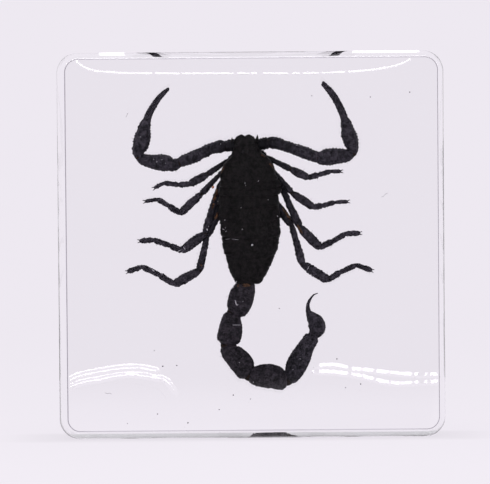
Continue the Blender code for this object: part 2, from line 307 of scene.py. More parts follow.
def front_face(rim):
    """The face within its rim: points, the rim's first, in rows across each ridge, and triangles."""
    spots = []
    for width, _, _, line in RIDGES:
        path = crest(line)
        ahead = np.gradient(path, axis=0)
        ahead /= np.linalg.norm(ahead, axis=1)[:, None]
        beyond = np.arange(CREST_STEP, width * UPPER_ROWS[-1], CREST_STEP)[:, None]
        path = np.concatenate((path[0] - ahead[0] * beyond[::-1], path, path[-1] + ahead[-1] * beyond))
        ahead = np.concatenate((ahead[:1].repeat(len(beyond), 0), ahead, ahead[-1:].repeat(len(beyond), 0)))
        across = ahead[:, ::-1] * (-1, 1)
        spots += [path + across * width * share for share in UPPER_ROWS]
        spots += [path - across * width * LOWER_FLANK * share for share in LOWER_ROWS]
    spots = np.concatenate(spots)
    inset = front_edge(*BOTTOM_CURVE)[0][1] + RIM_MARGIN
    corner = CORNER_RADIUS - inset
    beyond = np.abs(spots - (FACE_SHIFT[0], BLOCK_MIDDLE + FACE_SHIFT[1])) - (BLOCK_MIDDLE - inset - corner)
    outside = np.hypot(*np.maximum(beyond, 0).T) + np.minimum(beyond.max(axis=1), 0) - corner
    given = [(x, z) for x, y, z in rim] + [tuple(spot) for spot in spots[outside < 0]]
    triangles, sources = delaunay_2d_cdt(given, [], [list(range(len(rim)))], 1, 1e-5)[2:4]
    heights = ridge_heights(np.array(given))
    inner = [(x, BLOCK_FRONT - rise, z) for (x, z), rise in zip(given[len(rim):], heights[len(rim):])]
    return list(rim) + inner, [tuple(min(sources[i]) for i in triangle) for triangle in triangles]


def polished_resin():
    """Smooth enough to mirror, with a faint tint that grows with depth."""
    made, tree = new_material("clear cast polyester, polished")
    shader = add(tree, "ShaderNodeBsdfPrincipled", Base_Color=(1, 1, 1, 1), Roughness=0.0, **CLEAR)
    tint = add(tree, "ShaderNodeVolumeAbsorption", Color=linear("#d9cfe6"), Density=1.2)
    add(tree, "ShaderNodeOutputMaterial", Surface=shader, Volume=tint)
    return made


def ground_resin():
    """The scratch beside the rounding: matt and grey, with painted shade darkening it along the sides."""
    made, tree = new_material("ground resin, with painted shade along the sides")
    tone = add(
        tree, "ShaderNodeMix", {"data_type": "RGBA"},
        _0=sideways(tree, *SIDE_SHADE_FROM), _6=linear("#b9b5bf"), _7=linear("#77727d"),
    )
    shader = add(tree, "ShaderNodeBsdfPrincipled", Base_Color=tone.outputs[2], Roughness=0.5, **CLEAR)
    add(tree, "ShaderNodeOutputMaterial", Surface=shader)
    return made


def resin_block():
    rings = edge_rings()
    for y in np.linspace(max(y for x, y, z in rings[-1]), BLOCK_BACK - BACK_BREAK, DEPTH_ROWS)[1:]:
        rings.append([(x, y, z) for x, z in block_outline(0.0)])
    for turn in np.linspace(0, math.pi / 2, BACK_BREAK_STEPS)[1:]:
        y = BLOCK_BACK - BACK_BREAK * (1 - math.sin(turn))
        rings.append([(x, y, z) for x, z in block_outline(BACK_BREAK * (1 - math.cos(turn)))])
    sides = len(rings[0])
    points = [p for ring in rings for p in ring]
    moved = len(points) - sides
    face_points, triangles = front_face(rings[0])
    faces = ring_faces(len(rings), sides) + [tuple(reversed(range(moved, len(points))))]
    faces += [tuple(i if i < sides else i + moved for i in triangle) for triangle in triangles]
    shape = Shape()
    shape.add(points + face_points[sides:], faces)
    scratched = (len(SCRATCH) - 1) * sides
    shape.paints[:scratched] = [1] * scratched
    made = shape.finish("resin_block", polished_resin(), ground_resin(), smooth_below=40)
    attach(made, "root")
    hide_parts("resin_front", "resin_back")


resin_block()


# ---- The trunk ----
# The specimen's body, dried and black: the shield over the head, seven back plates that overlap
# towards the tail, five belly plates with breathing slits, and the soft skin between them.

SPECIMEN_Y = 4.0  # the plane that the specimen lies in; its back faces the front of the block
DOME_TURNS = (1.35, 0.95, 0.5)  # where the rings of a rounded end lie, from its tip on
PATCH, GRIT = 0.9, 0.16  # sizes of the cuticle's brown patches and of its pits
PIT_DEPTH = 0.05
ROOT_REACH = (2.5, 10.0)  # the limbs' dark roots fade out between these distances from the middle
# (z, x) along the trunk's two edges, and (z, half depth), from the tail end up to the head.
TRUNK_LEFT = [
    (29.9, -2.9), (32.4, -4.25), (35.9, -5.2), (38.8, -5.8), (41.7, -6.05), (44.0, -6.3), (45.6, -6.5),
    (47.0, -6.3), (51.2, -5.9), (53.3, -5.3), (54.7, -3.9), (55.8, -3.5), (57.0, -3.2), (57.9, -2.6),
    (58.5, -1.9),
]
TRUNK_RIGHT = [
    (29.9, 1.7), (31.8, 2.85), (34.7, 4.35), (37.1, 5.25), (39.6, 5.7), (42.9, 5.65), (46.3, 5.45),
    (47.2, 5.5), (48.0, 5.95), (49.6, 5.8), (51.2, 4.9), (53.4, 4.35), (54.7, 3.3), (55.6, 2.1),
    (56.9, 1.8), (57.9, 1.4), (58.5, 0.7),
]
TRUNK_DEPTH = [
    (29.9, 1.7), (35.6, 2.4), (40.0, 2.9), (45.0, 3.05), (50.0, 2.85), (53.6, 2.6), (57.2, 1.9), (58.5, 1.1),
]
BACK_PLATES = [29.9, 35.6, 39.2, 42.6, 45.3, 47.4, 49.0, 50.3, 58.5]  # z of each border
BELLY_PLATES = [29.9, 34.2, 37.6, 41.0, 44.2, 47.2, 58.5]
# (share of a plate from its rear border to its front, how far it stands out).
PLATE_PROFILE = [
    (0.0, -0.12), (0.06, 0.08), (0.14, 0.12), (0.5, 0.07), (0.85, -0.04), (0.97, -0.12), (1.0, -0.12),
]
SHIELD_PROFILE = [(0.0, -0.12), (0.02, 0.06), (0.06, 0.14), (0.3, 0.1), (1.0, 0.0)]
BELLY_RISE = 0.7  # how far the belly's plates stand out, as a share of the back's
BORDER_BOW = 0.7  # how far the middle of each border lies nearer the tail than its ends
BORDER_LAP = 0.03  # between a border and the row of points above it
# (height, half width) of the forms on the back, and how far from the midline or at which z they lie.
MIDDLE_KEEL, SIDE_KEELS, SIDE_KEELS_X = (0.16, 0.25), (0.13, 0.22), 1.5
FURROW, SLOPES, SLOPES_X, SLOPES_END = (0.2, 0.22), (0.14, 0.3), 0.9, 54.6
EYE_MOUND, EYE_MOUND_REACH, EYE_MOUND_Z = (0.4, 0.75), 0.8, 55.6
# Both lie by the sine of the turn round the trunk, which is -1 at the back and 1 at the belly: the groove
# of skin along each side, as its (depth, width) and place, and where the back's forms end and how they fade.
SIDE_SKIN, SIDE_SKIN_AT = (0.16, 0.09), 0.12
BACK_END, BACK_FADE = 0.15, 0.3
SMOOTH_END = 30.6  # the back is plain below this z, where the tail starts
FRONT_SPINES = [(-3.62, 57.2, 1.35), (1.35, 57.8, 1.25)]  # (x, z, height) of the spine beside each jaw
SPINE_Y = 3.6
# (how far it leans, share of its height, half width, half depth).
SPINE_PROFILE = [(0.0, 0.0, 0.45, 0.35), (0.0, 0.5, 0.26, 0.24), (0.05, 1.0, 0.05, 0.05)]
EDGE_ROUGHNESS = 0.13  # how far the worn borders of the plates stray
TRUNK_STEP, TRUNK_SIDES, TRUNK_SQUARENESS = 0.13, 96, 2.5


def hump(height, width, away):
    """The height of a smooth hump at that distance from its middle."""
    return height * math.exp(-((away / width) ** 2))


def tube(shape, rows, sides=20, relief=None, domes=(0.6, 0.6), paint=0):
    """A closed tube through rows of (x, y, z, half width, half depth), its widths in the specimen's plane.

    relief(share of the length, turn round it) gives the height of ridges and dimples, and domes
    the length of each rounded end as a share of its half width.
    """
    rows = np.array(rows)
    places = rows[:, :3]
    ways = np.gradient(places, axis=0)
    ways /= np.linalg.norm(ways, axis=1)[:, None]
    spans = [(places[i], ways[i], row[3:], i / (len(rows) - 1)) for i, row in enumerate(rows)]
    for turn in reversed(DOME_TURNS):
        size = math.cos(turn)
        start, end = (rows[i, 3] * domes[i] * math.sin(turn) for i in (0, -1))
        spans.insert(0, (places[0] - ways[0] * start, ways[0], rows[0, 3:] * size, 0.0))
        spans.append((places[-1] + ways[-1] * end, ways[-1], rows[-1, 3:] * size, 1.0))
    points = []
    for place, way, (wide, deep), share in spans:
        across = np.cross(way, (0.0, 1.0, 0.0))
        across /= np.linalg.norm(across)
        back = np.cross(way, across)
        for i in range(sides):
            turn = 2 * math.pi * i / sides
            out = relief(share, turn) if relief else 0.0
            points.append(
                place + across * math.cos(turn) * (wide + out) + back * math.sin(turn) * (deep + out)
            )
    ends = [tuple(reversed(range(sides))), tuple(range(len(points) - sides, len(points)))]
    shape.add(points, ends + ring_faces(len(spans), sides, turned=True), paint)


def blob(shape, middle, radii, rings=6, sides=12, paint=0):
    """An ellipsoid with its axes along x, y and z."""
    points = [(middle[0], middle[1], middle[2] + radii[2])]
    for ring in range(1, rings):
        tilt = math.pi * ring / rings
        for i in range(sides):
            turn = 2 * math.pi * i / sides
            points.append((
                middle[0] + radii[0] * math.sin(tilt) * math.cos(turn),
                middle[1] + radii[1] * math.sin(tilt) * math.sin(turn),
                middle[2] + radii[2] * math.cos(tilt),
            ))
    points.append((middle[0], middle[1], middle[2] - radii[2]))
    last = len(points) - 1
    faces = [(0, 1 + i, 1 + (i + 1) % sides) for i in range(sides)] + ring_faces(rings - 1, sides, 1)
    faces += [(last, last - sides + (i + 1) % sides, last - sides + i) for i in range(sides)]
    shape.add(points, faces, paint)


def mottled(tree, dark, light, size, detail=2.0, roughness=0.5, between=(0.0, 1.0)):
    """A socket with a colour in patches of that size, from dark to light."""
    place = add(tree, "ShaderNodeTexCoord").outputs["Object"]
    patches = add(
        tree, "ShaderNodeTexNoise", Vector=place, Scale=1 / (size * MM), Detail=detail, Roughness=roughness
    )
    share = add(tree, "ShaderNodeMapRange", Value=patches, From_Min=between[0], From_Max=between[1])
    colours = {"_0": share, "_6": linear(dark), "_7": linear(light)}
    return add(tree, "ShaderNodeMix", {"data_type": "RGBA"}, **colours).outputs[2]


def patched(name, *pattern, **finish):
    """A material with a mottled colour and one finish all over."""
    made, tree = new_material(name)
    shader = add(tree, "ShaderNodeBsdfPrincipled", Base_Color=mottled(tree, *pattern), **finish)
    add(tree, "ShaderNodeOutputMaterial", Surface=shader)
    return made


def cuticle(name, dark, brown, at_root=None):
    """Dried cuticle under resin: near black and mottled brown, darker at a limb's root. The resin wets
    it, so that its sheen is low.
    """
    made, tree = new_material(name)
    tone = mottled(tree, dark, brown, PATCH, 5.0, 0.85, (0.41, 0.6))
    if at_root:
        colours = {"_0": sideways(tree, *ROOT_REACH), "_6": linear(at_root), "_7": tone}
        tone = add(tree, "ShaderNodeMix", {"data_type": "RGBA"}, **colours).outputs[2]
    place = add(tree, "ShaderNodeTexCoord").outputs["Object"]
    grit = add(tree, "ShaderNodeTexNoise", Vector=place, Scale=1 / (GRIT * MM))
    rough = add(tree, "ShaderNodeMapRange", Value=grit, To_Min=0.38, To_Max=0.62)
    pits = add(tree, "ShaderNodeBump", Height=grit, Strength=0.5, Distance=PIT_DEPTH * MM)
    shader = add(tree, "ShaderNodeBsdfPrincipled", Base_Color=tone, Roughness=rough, IOR=1.2, Normal=pits)
    add(tree, "ShaderNodeOutputMaterial", Surface=shader)
    return made


def soft_skin(name, dark, light, lit_through):
    """The joints' skin, thin and wrinkled: brown where it dried thick, orange where light comes through."""
    pattern = (dark, light, 0.5, 3.0, 0.5, (0.35, 0.65))
    return patched(name, *pattern, Roughness=0.6, IOR=1.2, Transmission_Weight=lit_through)


BODY_CUTICLE = cuticle("body cuticle, matt black", "#050506", "#201d1e")
LIMB_CUTICLE = cuticle("limb cuticle, blue-black to brown", "#19181e", "#48444d", at_root="#101014")
TAIL_CUTICLE = cuticle("tail cuticle, black", "#131217", "#403b42")
JOINT_SKIN = soft_skin("joint skin, dried dark brown", "#140f0e", "#2b1e19", 0.05)


def of_specimen(made):
    """The piece as a part of the one scorpion."""
    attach(made, "root")
    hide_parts("scorpion")
    return made


def trunk_level(z):
    left, right, deep = (np.interp(z, *zip(*line)) for line in (TRUNK_LEFT, TRUNK_RIGHT, TRUNK_DEPTH))
    return (left + right) / 2, (right - left) / 2, deep


def plate_rise(z, borders):
    """How far the plates stand out at that height, the tail end of each over the next one's front."""
    i = min(max(int(np.searchsorted(borders, z, side="right")) - 1, 0), len(borders) - 2)
    share = (z - borders[i]) / (borders[i + 1] - borders[i])
    return float(np.interp(share, *zip(*(SHIELD_PROFILE if i == len(borders) - 2 else PLATE_PROFILE))))


def back_relief(x, z, middle):
    """Keels, furrow and eye mound on the back, over its curve."""
    beside = x - middle
    swell = 0.07 * noise.noise((x * 1.1, z * 1.1, 0.4)) + 0.03 * noise.noise((x * 4.0, z * 4.0, 7.7))
    if z < BACK_PLATES[7]:
        keel = hump(*MIDDLE_KEEL, beside) * (0.75 + 0.25 * math.sin(z * 14))
        if z < BACK_PLATES[1]:
            keel += hump(*SIDE_KEELS, abs(beside) - SIDE_KEELS_X) * (0.7 + 0.3 * math.sin(z * 16))
        return keel + swell
    furrow = hump(*FURROW, beside) * (1 - hump(1, 0.9, z - EYE_MOUND_Z))
    mound = hump(*EYE_MOUND, beside) * hump(1, EYE_MOUND_REACH, z - EYE_MOUND_Z)
    slopes = hump(*SLOPES, abs(beside) - SLOPES_X - (z - BACK_PLATES[7]) * 0.12) * (z < SLOPES_END)
    return mound - furrow - slopes + swell


def trunk_points():
    borders = np.array(BACK_PLATES[1:-1] + BELLY_PLATES[1:-1])
    heights = np.arange(BACK_PLATES[0], BACK_PLATES[-1], TRUNK_STEP)
    heights = np.concatenate((heights, borders, borders + BORDER_LAP, [BACK_PLATES[-1]]))
    heights = np.unique(np.round(heights, 3))
    points = []
    for z in heights:
        middle, wide, deep = trunk_level(z)
        for i in range(TRUNK_SIDES):
            turn = 2 * math.pi * i / TRUNK_SIDES
            out, back = math.cos(turn), math.sin(turn)
            x, y = (math.copysign(abs(k) ** (2 / TRUNK_SQUARENESS), k) for k in (out, back))
            on_back = min(max((BACK_END - back) / BACK_FADE, 0.0), 1.0)
            bowed = min(max(z + BORDER_BOW * (1 - x * x), BACK_PLATES[0]), BACK_PLATES[-1] - 0.01)
            rise = plate_rise(bowed, BACK_PLATES) * on_back
            rise += plate_rise(z, BELLY_PLATES) * (1 - on_back) * BELLY_RISE
            groove = hump(*SIDE_SKIN, back - SIDE_SKIN_AT) * (1 + 0.3 * math.sin(z * 13))
            lift = back_relief(middle + wide * x, z, middle) * max(0.0, -y) ** 0.5 if z > SMOOTH_END else 0.0
            worn = noise.noise((out * 3, z * 2.3, 5.5)) + noise.noise((out * 3, z * 6.1, 1.3))
            px = middle + x * (wide + rise + EDGE_ROUGHNESS * worn) - out * groove
            points.append((px, SPECIMEN_Y + y * (deep + rise) - lift, z))
    return points


def trunk():
    shape = Shape()
    points = trunk_points()
    count = len(points)
    ends = [tuple(range(TRUNK_SIDES)), tuple(reversed(range(count - TRUNK_SIDES, count)))]
    shape.add(points, ends + ring_faces(count // TRUNK_SIDES, TRUNK_SIDES))
    for x, z, height in FRONT_SPINES:
        rows = [(x + lean, SPINE_Y, z + height * up, wide, deep) for lean, up, wide, deep in SPINE_PROFILE]
        tube(shape, spline(rows, 0.15), 8)
    return of_specimen(shape.finish("trunk", BODY_CUTICLE, smooth_below=50))


body = trunk()


# ---- The arms ----
# The two pincer arms, spread wide and bent up at the hands, with the fingers shut. Each is five
# hollow parts of keeled cuticle that move on each other at the joints.

# Parts of each arm as (x, z, half width) from the trunk outwards.
LEFT_ARM = {
    "trochanter": [(-2.6, 56.8, 1.05), (-3.8, 57.0, 1.05), (-4.9, 56.75, 0.98)],
    "femur": [
        (-5.0, 56.7, 0.95), (-5.7, 56.8, 1.22), (-6.9, 56.62, 1.04), (-9.0, 55.78, 1.0),
        (-11.2, 54.8, 1.12), (-13.0, 54.08, 0.97), (-14.0, 53.7, 0.9),
    ],
    "patella": [
        (-14.1, 53.58, 0.98), (-15.2, 53.3, 1.12), (-16.5, 53.65, 1.54), (-18.1, 53.8, 1.48),
        (-19.8, 54.05, 1.2), (-21.1, 54.47, 0.98), (-21.7, 54.9, 0.85),
    ],
    "hand": [
        (-21.8, 55.0, 0.9), (-21.88, 55.9, 1.1), (-21.4, 57.4, 1.5), (-21.0, 59.0, 1.46),
        (-20.72, 60.6, 1.08), (-20.3, 61.9, 0.88),
    ],
    "fixed_finger": [
        (-20.6, 61.2, 0.62), (-20.13, 62.8, 0.55), (-19.05, 65.0, 0.38), (-17.47, 67.05, 0.33),
        (-16.05, 68.15, 0.27),
    ],
    "moving_finger": [
        (-20.1, 60.4, 0.5), (-19.85, 62.3, 0.46), (-18.75, 64.6, 0.36), (-17.27, 66.7, 0.28),
        (-15.98, 67.97, 0.2),
    ],
}
RIGHT_ARM = {
    "trochanter": [(1.0, 57.0, 1.0), (2.2, 57.2, 1.04), (3.5, 57.52, 0.98)],
    "femur": [
        (3.6, 57.55, 1.02), (4.4, 57.48, 1.12), (6.2, 57.02, 1.0), (8.4, 56.25, 0.98), (10.5, 55.5, 1.1),
        (12.2, 54.83, 1.0), (13.1, 54.55, 1.1),
    ],
    "patella": [
        (13.2, 54.5, 1.12), (14.0, 54.45, 1.34), (15.2, 54.6, 1.52), (17.2, 54.75, 1.36),
        (18.9, 54.88, 1.1), (19.9, 55.3, 0.8),
    ],
    "hand": [
        (20.1, 55.35, 0.8), (20.05, 56.2, 1.05), (19.68, 57.6, 1.38), (19.25, 58.88, 1.36),
        (18.9, 60.6, 1.06), (18.6, 61.9, 0.8),
    ],
    "fixed_finger": [
        (18.85, 61.1, 0.6), (18.28, 63.22, 0.47), (17.17, 65.7, 0.4), (15.87, 67.55, 0.4), (14.42, 69.1, 0.3),
    ],
    "moving_finger": [
        (18.5, 60.4, 0.5), (18.05, 62.4, 0.46), (16.9, 65.0, 0.38), (15.55, 67.15, 0.31), (14.15, 68.75, 0.2),
    ],
}
ARM_Y = SPECIMEN_Y + 0.2
ARM_LIFT = {"fixed_finger": 0.35, "moving_finger": -0.3}  # one finger lies over the other
ARM_DEPTH = 0.9  # depth of a part as a share of its width
ARM_SIDES, FINGER_SIDES = 36, 14
JOINT = 0.9  # the skin at a joint, as a share of the next part's half width
KEEL_TURNS = [math.radians(a) for a in (0, 55, 125, 180, 235, 305)]
LIMB_STEP = 0.16
# (how fine along a part, how fine round it, which way the seed moves it) of the skin's two pittings.
PITTINGS = ((11, 2.5, 1), (27, 3, -1))
UNEVEN_BEADS = 1.1  # how much a bead's height strays, as a share of it
KEEL_FADE = 8  # a keel fades out over one part in this many of its length, at each end
# (share of a part's length where its lip stands out, and how high, as a share of the lip's height).
LIPS = ((0.93, 1.0), (0.06, 0.6))
LIP_WIDTH = 0.03


def keels(turns, height, beads, reach=0.2, pits=0.03, seed=0.0):
    """Relief with uneven beads on keels along a tube at those turns, over a finely pitted skin."""

    def relief(share, turn):
        out = 0.0
        for along, about, way in PITTINGS:
            spot = (share * along, math.cos(turn) * about, math.sin(turn) * about + seed * way)
            out += pits * noise.noise(spot)
        for keel in turns:
            beside = abs((turn - keel + math.pi) % (2 * math.pi) - math.pi)
            if beside < 2 * reach:
                bead = 0.6 + 0.4 * math.cos(2 * math.pi * beads * share + keel)
                bead *= 1 + UNEVEN_BEADS * noise.noise((share * beads * 0.7, keel * 3, seed + 0.5))
                fade = min(1.0, KEEL_FADE * share, KEEL_FADE * (1 - share))
                out += hump(height, reach, beside) * bead * fade
        return out

    return relief


def lipped_rows(rows, lip=0.07):
    """The same rows, with a lip round each end."""
    rows = np.array(rows)
    for i, share in enumerate(np.linspace(0, 1, len(rows))):
        rows[i, 3:] += sum(hump(lip * high, LIP_WIDTH, share - at) for at, high in LIPS)
    return rows


def arms():
    shape = Shape()
    for side, arm in enumerate((LEFT_ARM, RIGHT_ARM)):
        for part, stations in arm.items():
            y = ARM_Y + ARM_LIFT.get(part, 0.0)
            finger = "finger" in part
            depth = 1.0 if finger else ARM_DEPTH
            rows = spline([(x, y, z, half, half * depth) for x, z, half in stations], LIMB_STEP)
            if finger:
                relief = keels([0, math.pi], 0.08, beads=14, reach=0.5, seed=side)
                tube(shape, rows, FINGER_SIDES, relief, domes=(0.5, 1.2))
            else:
                relief = keels(KEEL_TURNS, 0.2, beads=len(rows) / 4, seed=side + len(part))
                tube(shape, lipped_rows(rows), ARM_SIDES, relief, domes=(0.4, 0.35))
        for part in ("femur", "patella", "hand"):
            x, z, half = arm[part][0]
            blob(shape, (x, ARM_Y, z), (half * JOINT,) * 3, 8, 16, paint=1)
    return of_specimen(shape.finish("arms", LIMB_CUTICLE, JOINT_SKIN, smooth_below=50))


arm_pieces = arms()


# ---- The legs ----
# Eight walking legs of seven parts each, thin and a little see-through towards the feet. They lie
# spread as they were pinned to dry, each foot ending in two claws.

# Joints (x, z) of each leg: root, trochanter, femur, patella, tibia, first foot part, tip.
LEGS = {
    "left_1": [
        (-2.2, 55.2), (-4.2, 54.2), (-8.37, 51.45), (-11.9, 49.52), (-14.0, 49.4), (-16.9, 49.78),
        (-18.77, 48.85),
    ],
    "left_2": [
        (-3.4, 52.6), (-6.2, 51.2), (-9.66, 47.6), (-13.8, 43.8), (-16.07, 45.28), (-18.17, 46.6),
        (-20.6, 46.2),
    ],
    "left_3": [
        (-3.9, 50.8), (-6.3, 48.65), (-8.97, 39.85), (-13.5, 36.5), (-15.75, 37.45), (-19.1, 38.65),
        (-21.7, 38.45),
    ],
    "left_4": [
        (-5.1, 47.2), (-8.6, 39.4), (-10.12, 32.6), (-15.08, 29.97), (-18.05, 31.8), (-21.3, 33.42),
        (-24.12, 32.5),
    ],
    "right_1": [
        (1.2, 56.0), (2.9, 54.8), (7.85, 52.27), (11.2, 50.6), (13.23, 51.1), (15.6, 51.78), (17.6, 51.78),
    ],
    "right_2": [
        (2.1, 54.3), (3.8, 52.7), (8.13, 47.6), (12.2, 44.8), (13.98, 45.1), (16.4, 45.7), (18.9, 45.85),
    ],
    "right_3": [
        (3.5, 51.0), (5.65, 49.6), (9.52, 40.95), (13.4, 36.9), (15.95, 38.1), (18.45, 39.57),
        (21.2, 39.65),
    ],
    "right_4": [
        (4.0, 46.7), (7.9, 41.45), (9.97, 33.7), (14.9, 30.53), (17.35, 32.02), (20.5, 33.42),
        (23.47, 32.38),
    ],
}
LEG_Y = (1.4, 1.3, 0.3, 0.2, 0.6, 1.0, 1.3)  # how far behind the specimen's plane each joint lies
# Widest half width of each part, trochanter to last foot part.
FRONT_LEG_WIDTHS = (0.64, 0.55, 0.76, 0.54, 0.45, 0.34)
REAR_LEG_WIDTHS = (0.82, 0.72, 0.9, 0.57, 0.49, 0.47)
LEG_DEPTH, LEG_SIDES = 0.8, 16
LEG_JOINT = 0.55  # the same as JOINT, for a leg
# (share of a part's length, share of its widest half width), from its trunk end.
FEMUR_PROFILE = [(0.0, 0.64), (0.1, 0.74), (0.3, 0.8), (0.55, 0.88), (0.8, 1.0), (0.94, 0.96), (1.0, 0.75)]
PATELLA_PROFILE = [
    (0.0, 0.62), (0.1, 0.76), (0.28, 0.93), (0.55, 1.0), (0.82, 0.93), (0.95, 0.86), (1.0, 0.68),
]
FOOT_PROFILE = [(0.0, 0.78), (0.15, 0.92), (0.5, 0.96), (0.85, 1.0), (1.0, 0.78)]
PART_PROFILES = (PATELLA_PROFILE, FEMUR_PROFILE, PATELLA_PROFILE, FOOT_PROFILE, FOOT_PROFILE, FOOT_PROFILE)
CLAW_LENGTH = 0.6
# (share of the claw's length, how far aside, how far back, half thickness).
CLAW_PROFILE = ((-0.15, 0.05, 0, 0.13), (0.4, 0.22, -0.1, 0.1), (0.8, 0.3, 0.1, 0.06), (1.0, 0.27, 0.3, 0.02))


def leg_part(shape, start, end, wide, profile, seed):
    rows = [(*start.lerp(end, share), wide * k, wide * k * LEG_DEPTH) for share, k in profile]
    relief = keels(KEEL_TURNS, 0.11, beads=9, reach=0.3, pits=0.1, seed=seed)
    tube(shape, spline(rows, LIMB_STEP), LEG_SIDES, relief, domes=(0.3, 0.5))


def claws(shape, foot, way):
    """The foot's two claws, spread in the plane and hooked."""
    for side in (-1, 1):
        beside = way.cross(Vector((0, 1, 0))) * side
        rows = []
        for along, out, drop, thick in CLAW_PROFILE:
            spot = foot + way * CLAW_LENGTH * along + beside * out + Vector((0, drop, 0))
            rows.append((*spot, thick, thick))
        tube(shape, spline(rows, 0.12), 7)


def legs():
    shape = Shape()
    for number, (name, joints) in enumerate(LEGS.items()):
        widths = REAR_LEG_WIDTHS if name[-1] in "34" else FRONT_LEG_WIDTHS
        places = [Vector((x, SPECIMEN_Y + y, z)) for (x, z), y in zip(joints, LEG_Y)]
        for i, (start, end) in enumerate(zip(places, places[1:])):
            leg_part(shape, start, end, widths[i], PART_PROFILES[i], number * 7 + i)
            if 0 < i < 5:
                blob(shape, start, (widths[i] * LEG_JOINT,) * 3, paint=1)
        claws(shape, places[-1], (places[-1] - places[-2]).normalized())
    return of_specimen(shape.finish("legs", LIMB_CUTICLE, JOINT_SKIN, smooth_below=50))


leg_pieces = legs()


# ---- The tail and the sting ----
# Five keeled rings of thick cuticle, curled round to the right, then the sting's bulb with its
# hooked point. The rings stand a little apart where the skin between them dried.

# Rings from the trunk outwards, and the sting, as (x, z, half width).
TAIL = [
    [
        (-0.95, 30.4, 1.5), (-1.27, 29.2, 2.05), (-1.87, 27.7, 2.44), (-2.34, 26.2, 2.42),
        (-2.9, 25.0, 2.15), (-3.35, 24.25, 1.55),
    ],
    [
        (-3.8, 24.0, 1.5), (-3.96, 23.0, 1.9), (-4.1, 21.6, 2.26), (-4.32, 20.0, 2.36), (-4.65, 18.9, 2.2),
        (-4.8, 18.2, 1.45),
    ],
    [
        (-4.8, 17.7, 1.5), (-4.32, 16.7, 1.8), (-3.1, 15.55, 2.18), (-1.88, 14.15, 2.28),
        (-1.32, 13.05, 2.02), (-0.75, 12.4, 1.6),
    ],
    [
        (-0.3, 12.05, 1.5), (0.8, 11.93, 1.95), (2.4, 11.9, 2.32), (4.2, 11.7, 2.34), (5.75, 11.05, 1.98),
        (6.6, 10.95, 1.5),
    ],
    [
        (7.1, 11.3, 1.35), (7.75, 12.0, 1.62), (8.63, 13.75, 2.04), (9.56, 15.57, 1.99),
        (10.62, 17.57, 1.6), (11.43, 18.92, 1.42), (11.65, 19.65, 1.3),
    ],
]
STING = [
    (11.9, 19.75, 0.95), (12.42, 20.4, 1.42), (12.72, 21.4, 1.74), (12.45, 22.4, 1.58),
    (11.68, 23.45, 1.06), (11.1, 24.4, 0.51), (11.0, 25.3, 0.35), (11.14, 26.18, 0.28), (11.6, 27.0, 0.18),
    (12.16, 27.65, 0.13), (12.9, 27.98, 0.05),
]
TRUNK_END = (-0.9, 30.9)  # (x, z)
TAIL_DEPTH, TAIL_STEP = 0.92, 0.12
TAIL_SIDES, STING_SIDES = 64, 32
TAIL_LIP, TAIL_JOINT_DEPTH = 0.15, 0.8
TAIL_KEELS = [math.radians(22.5 + 45 * i) for i in range(8)]


def tail_rows(stations):
    return spline([(x, SPECIMEN_Y, z, half, half * TAIL_DEPTH) for x, z, half in stations], TAIL_STEP)


def tail():
    shape = Shape()
    for number, stations in enumerate(TAIL):
        rows = tail_rows(stations)
        relief = keels(TAIL_KEELS, 0.16, beads=len(rows) / 4, reach=0.13, pits=0.06, seed=number)
        paint = 2 if stations is TAIL[-1] else 0
        tube(shape, lipped_rows(rows, TAIL_LIP), TAIL_SIDES, relief, domes=(0.25, 0.25), paint=paint)
    before = TRUNK_END
    for stations in TAIL + [STING]:
        x, z, half = stations[0]
        middle = ((x + before[0]) / 2, SPECIMEN_Y, (z + before[1]) / 2)
        blob(shape, middle, (half * JOINT, half * TAIL_JOINT_DEPTH, half * JOINT), 10, 20, paint=1)
        before = stations[-1]
    relief = keels(TAIL_KEELS[::2], 0.05, beads=14, reach=0.25, pits=0.05, seed=9.0)
    tube(shape, tail_rows(STING), STING_SIDES, relief, domes=(0.4, 1.5), paint=2)
    return of_specimen(shape.finish("tail", TAIL_CUTICLE, JOINT_SKIN, LIMB_CUTICLE, smooth_below=50))


tail_piece = tail()


# ---- The head ----
# Two short jaws stand side by side in front of the shield, each a swollen base with two fingers.
# Two eyes sit on the mound on the shield's midline, and three more near each of its front corners.

HEAD_MIDDLE = -1.05  # x of the head's midline
# Rows of one jaw and its two fingers, as (x beside the midline, y behind the specimen's plane, z,
# half width, half depth).
JAW_PARTS = [
    [
        (0.95, -0.3, 56.6, 1.1, 0.85), (0.95, -0.4, 57.35, 1.3, 0.9), (0.76, -0.3, 58.0, 1.22, 0.78),
        (0.44, -0.25, 58.5, 0.86, 0.5),
    ],
    [(1.2, 0.1, 58.1, 0.34, 0.3), (1.1, 0.75, 58.35, 0.22, 0.2), (0.75, 1.3, 58.2, 0.06, 0.06)],
    [(0.55, 0.1, 58.05, 0.3, 0.28), (0.5, 0.75, 58.15, 0.2, 0.18), (0.62, 1.25, 58.1, 0.06, 0.06)],
]
JAW_SIDES = (28, 12, 12)
# (x beside the midline, z, radius) of the eyes on either side.
EYES = [(0.34, 55.75, 0.29), (1.95, 56.35, 0.14), (1.8, 56.75, 0.15), (1.6, 57.15, 0.14)]
EYE_SINK = 0.25  # how deep an eye's middle lies in the skin, as a share of its radius


def form_of(mesh):
    """A mesh's points, in millimetres, and its faces."""
    return [v.co / MM for v in mesh.vertices], [tuple(p.vertices) for p in mesh.polygons]


def skin_of(piece):
    """A piece's faces, to find where a straight line meets them."""
    return BVHTree.FromPolygons(*form_of(piece.data))


BODY_SKIN = skin_of(body)


